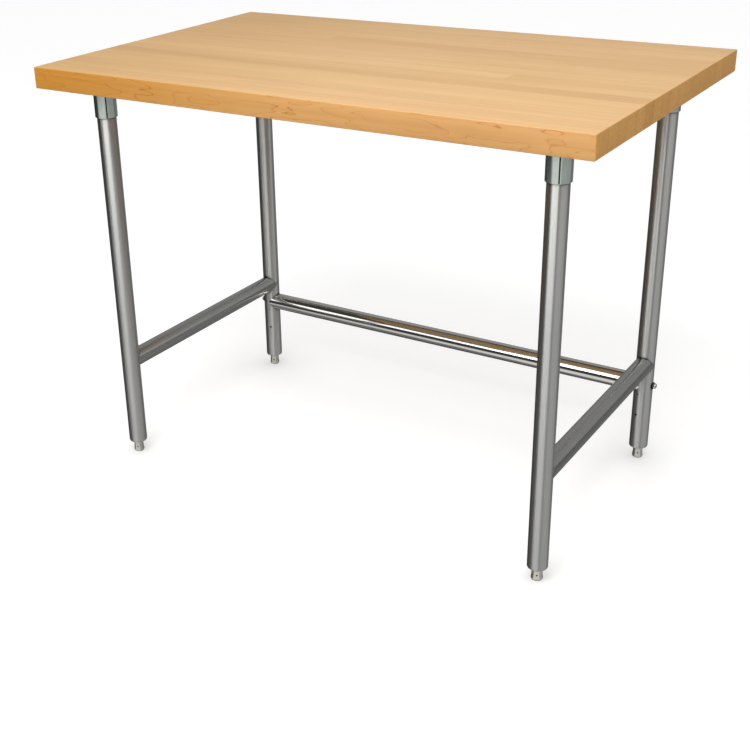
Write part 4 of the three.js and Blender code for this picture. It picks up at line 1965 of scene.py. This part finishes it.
@dataclass(frozen=True)
class LevellingFoot:
    """A levelling foot screwed up into the housing in a leg's end."""

    corner: Corner
    housing: Material
    steel: Material
    stud_radius: float = 7.9 * MM
    lip_round: float = 1.2 * MM
    lip_thickness: float = 1.9 * MM
    flare_radius: float = 11.7 * MM
    flare_height: float = 6 * MM
    flare_top: float = 14 * MM
    body_radius: float = 10.75 * MM
    bottom_round: float = 4.5 * MM
    shoulder_ease: float = 0.6 * MM
    flat_offset: float = 9.5 * MM
    flat_top: float = 24 * MM
    flat_turn: float = math.radians(-68)
    tommy_radius: float = 1.7 * MM
    tommy_height: float = 13 * MM
    thread_pitch: float = 1.75 * MM
    thread_depth: float = 0.95 * MM
    turn_rows: int = 6
    flat_step: float = 0.05 * MM
    lip_steps: int = 5
    round_steps: int = 8

    def build(self) -> None:
        """Makes the housing and the foot."""
        leg = Span.of(f"leg_{self.corner.value}")
        place = Matrix.Translation((leg.middle.x, leg.middle.y, 0))
        self.build_housing(leg, place)
        self.build_foot(place)

    def build_housing(self, leg: Span, place: Matrix) -> None:
        """The housing: a rounded lip under the tube and a sleeve pressed up into it.

        Args:
            leg: The leg's box.
            place: The matrix that moves a shape to the leg's axis.
        """
        node = f"foot_housing_{self.corner.value}"
        span = Span.of(node)
        bore = self.stud_radius + CLEARANCE
        lip = span.size.x / 2
        lip_top = span.low.z + self.lip_thickness
        sleeve = leg.size.x / 2 - TUBE_WALL - CLEARANCE
        low = span.low.z
        round_middle = (lip - self.lip_round, low + self.lip_round)
        shape = lathe((
            (bore + self.lip_round / 2, low),
            *arc(round_middle, self.lip_round, -QUARTER_TURN, 0, self.lip_steps),
            (lip, lip_top), (sleeve, lip_top), (sleeve, span.high.z), (bore, span.high.z),
            (bore, low + self.lip_round / 2),
        ), SMOOTH_SIDES)
        Handover(node, Slot.CAST_ZINC, self.housing).piece(moved(shape, place))

    def build_foot(self, place: Matrix) -> None:
        """The foot: a flared body with two wrench flats and a cross hole, under a threaded stud.

        Args:
            place: The matrix that moves a shape to the leg's axis.
        """
        node = f"levelling_foot_{self.corner.value}"
        top = Span.of(node).high.z
        shoulder = Span.of(f"foot_housing_{self.corner.value}").low.z - CLEARANCE
        thread_low = shoulder + self.thread_pitch / 2
        thread_high = top - self.thread_pitch / 2
        floor = self.flare_radius - self.bottom_round
        heights = rows(thread_low, thread_high, self.thread_pitch / self.turn_rows)
        stud = [(self.stud_radius, height) for height in heights]
        edge = self.flat_top + self.flat_step
        shape = lathe((
            (0, 0),
            *arc((floor, self.bottom_round), self.bottom_round, -QUARTER_TURN, 0, self.round_steps),
            (self.flare_radius, self.flare_height), (self.body_radius, self.flare_top),
            (self.body_radius, self.flat_top), (self.body_radius, edge),
            (self.body_radius, shoulder - self.shoulder_ease),
            (self.body_radius - self.shoulder_ease, shoulder), (self.stud_radius, shoulder),
            *stud, (self.stud_radius - self.thread_pitch / 2, top), (0, top),
        ), SMOOTH_SIDES)
        threaded(shape, self.thread_pitch, self.thread_depth, thread_low, thread_high)
        self.mill_flats(shape)
        hole = bar(self.tommy_radius, -2 * self.flare_radius, 2 * self.flare_radius, HOLE_SIDES)
        moved(hole, pointing(Vector((1, 0, 0)), Vector((0, 0, self.tommy_height))))
        turn = place @ Matrix.Rotation(self.flat_turn, 4, "Z")
        Handover(node, Slot.FOOT_STEEL, self.steel, body=f"foot_{self.corner.value}").piece(
            moved(shape, turn), cuts=[moved(hole, turn)],
        )

    def mill_flats(self, shape: Shape) -> None:
        """Mills two flats across the body, facing +X and -X, up to their top edge.

        Args:
            shape: The foot about its own axis.
        """
        for corner in shape.verts:
            if corner.co.z <= self.flat_top + MERGE_DISTANCE:
                corner.co.x = max(-self.flat_offset, min(self.flat_offset, corner.co.x))


# ---- Rail fixings -------------------------------------------------------------------------------


@dataclass(frozen=True)
class RailFixing:
    """The bolt, washer and plug that hold one end of the rear rail to its leg."""

    side: str
    shop: MetalShop
    bolt_radius: float = 4 * MM
    head_rim: float = 2.6 * MM
    head_height: float = 6.6 * MM
    washer_ease: float = 0.4 * MM
    dome_steps: int = 10
    head_ease: float = 0.4 * MM
    point_chamfer: float = 0.5 * MM
    thread_pitch: float = 1.25 * MM
    thread_depth: float = 0.6 * MM
    thread_length: float = 24 * MM
    turn_rows: int = 5

    def build(self) -> None:
        """Makes the bolt, the washer and the plug, all along the rail's axis."""
        outward = Vector((-1 if self.side == "left" else 1, 0, 0))
        leg = Span.of(f"leg_rear_{self.side}")
        rail = Span.of("rear_rail")
        place = pointing(outward, Vector((leg.middle.x, leg.middle.y, rail.middle.z)))
        axis_x = abs(leg.middle.x)
        self.build_bolt(axis_x, place)
        self.build_ring(f"bolt_washer_{self.side}", Slot.BLACK_NYLON, self.shop.nylon, axis_x, place)
        self.build_ring(f"rail_plug_{self.side}", Slot.CAST_ZINC, self.shop.cast, axis_x, place)

    def reach(self, node: str, axis_x: float) -> tuple[float, float, float]:
        """How far a node reaches outwards from the leg's axis.

        Args:
            node: The node's name.
            axis_x: The distance of the leg's axis from the middle of the table.

        Returns:
            The node's near end, far end and radius.
        """
        span = Span.of(node)
        near, far = sorted((abs(span.low.x), abs(span.high.x)))
        return near - axis_x, far - axis_x, span.size.z / 2

    def build_bolt(self, axis_x: float, place: Matrix) -> None:
        """The bolt: a low domed head over a threaded shank.

        Args:
            axis_x: The distance of the leg's axis from the middle of the table.
            place: The matrix that lays Z outwards along the rail from the leg's axis.
        """
        node = f"rail_bolt_{self.side}"
        near, far, radius = self.reach(node, axis_x)
        seat = far - self.head_height
        rim = seat + self.head_rim
        angles = [QUARTER_TURN * step / self.dome_steps for step in range(self.dome_steps + 1)]
        dome = [(radius * math.cos(a), rim + (far - rim) * math.sin(a)) for a in angles[:-1]]
        thread_start = near + self.point_chamfer
        thread_end = near + self.thread_length
        heights = rows(thread_start, thread_end, self.thread_pitch / self.turn_rows)
        shank = [(self.bolt_radius, height) for height in heights]
        shape = lathe((
            (0, near), (self.bolt_radius - self.point_chamfer, near), *shank, (self.bolt_radius, seat),
            (radius - self.head_ease, seat), (radius, seat + self.head_ease), *dome, (0, far),
        ), SMALL_SIDES)
        threaded(shape, self.thread_pitch, self.thread_depth, thread_start, thread_end)
        Handover(node, Slot.BOLT_STEEL, self.shop.bolt).piece(moved(shape, place))

    def build_ring(self, node: str, slot: Slot, material: Material, axis_x: float, place: Matrix) -> None:
        """A ring round the bolt with eased edges: the washer outside the leg or the plug in the rail.

        Args:
            node: The node that the ring replaces.
            slot: Its slot.
            material: Its finish.
            axis_x: The distance of the leg's axis from the middle of the table.
            place: The matrix that lays Z outwards along the rail from the leg's axis.
        """
        near, far, radius = self.reach(node, axis_x)
        bore = self.bolt_radius + CLEARANCE
        shape = eased(lathe((
            (bore, near), (radius, near), (radius, far), (bore, far),
        ), SMALL_SIDES), self.washer_ease)
        Handover(node, slot, material).piece(moved(shape, place))


# ---- Assembly -----------------------------------------------------------------------------------


def main() -> None:
    """Builds the studio and then the table, from the top down to its feet."""
    logging.basicConfig(level=logging.INFO, format="%(message)s")
    Studio().build()
    effects = SharedEffects.build()
    shop = MetalShop.build(effects)
    MapleTop(effects).build()
    for corner in Corner:
        Leg(corner, shop.leg).build()
        LegSocket(corner, shop.zinc, shop.screw).build()
        LevellingFoot(corner, shop.cast, shop.foot).build()
    for side in ("left", "right"):
        Rail(f"side_rail_{side}", TubeAxis.ALONG_Y, Slot.BRUSHED_STAINLESS, shop.side_rail).build()
        RailFixing(side, shop).build()
    Rail("rear_rail", TubeAxis.ALONG_X, Slot.POLISHED_STAINLESS, shop.rear_rail).build()


if __name__ == "__main__":
    main()
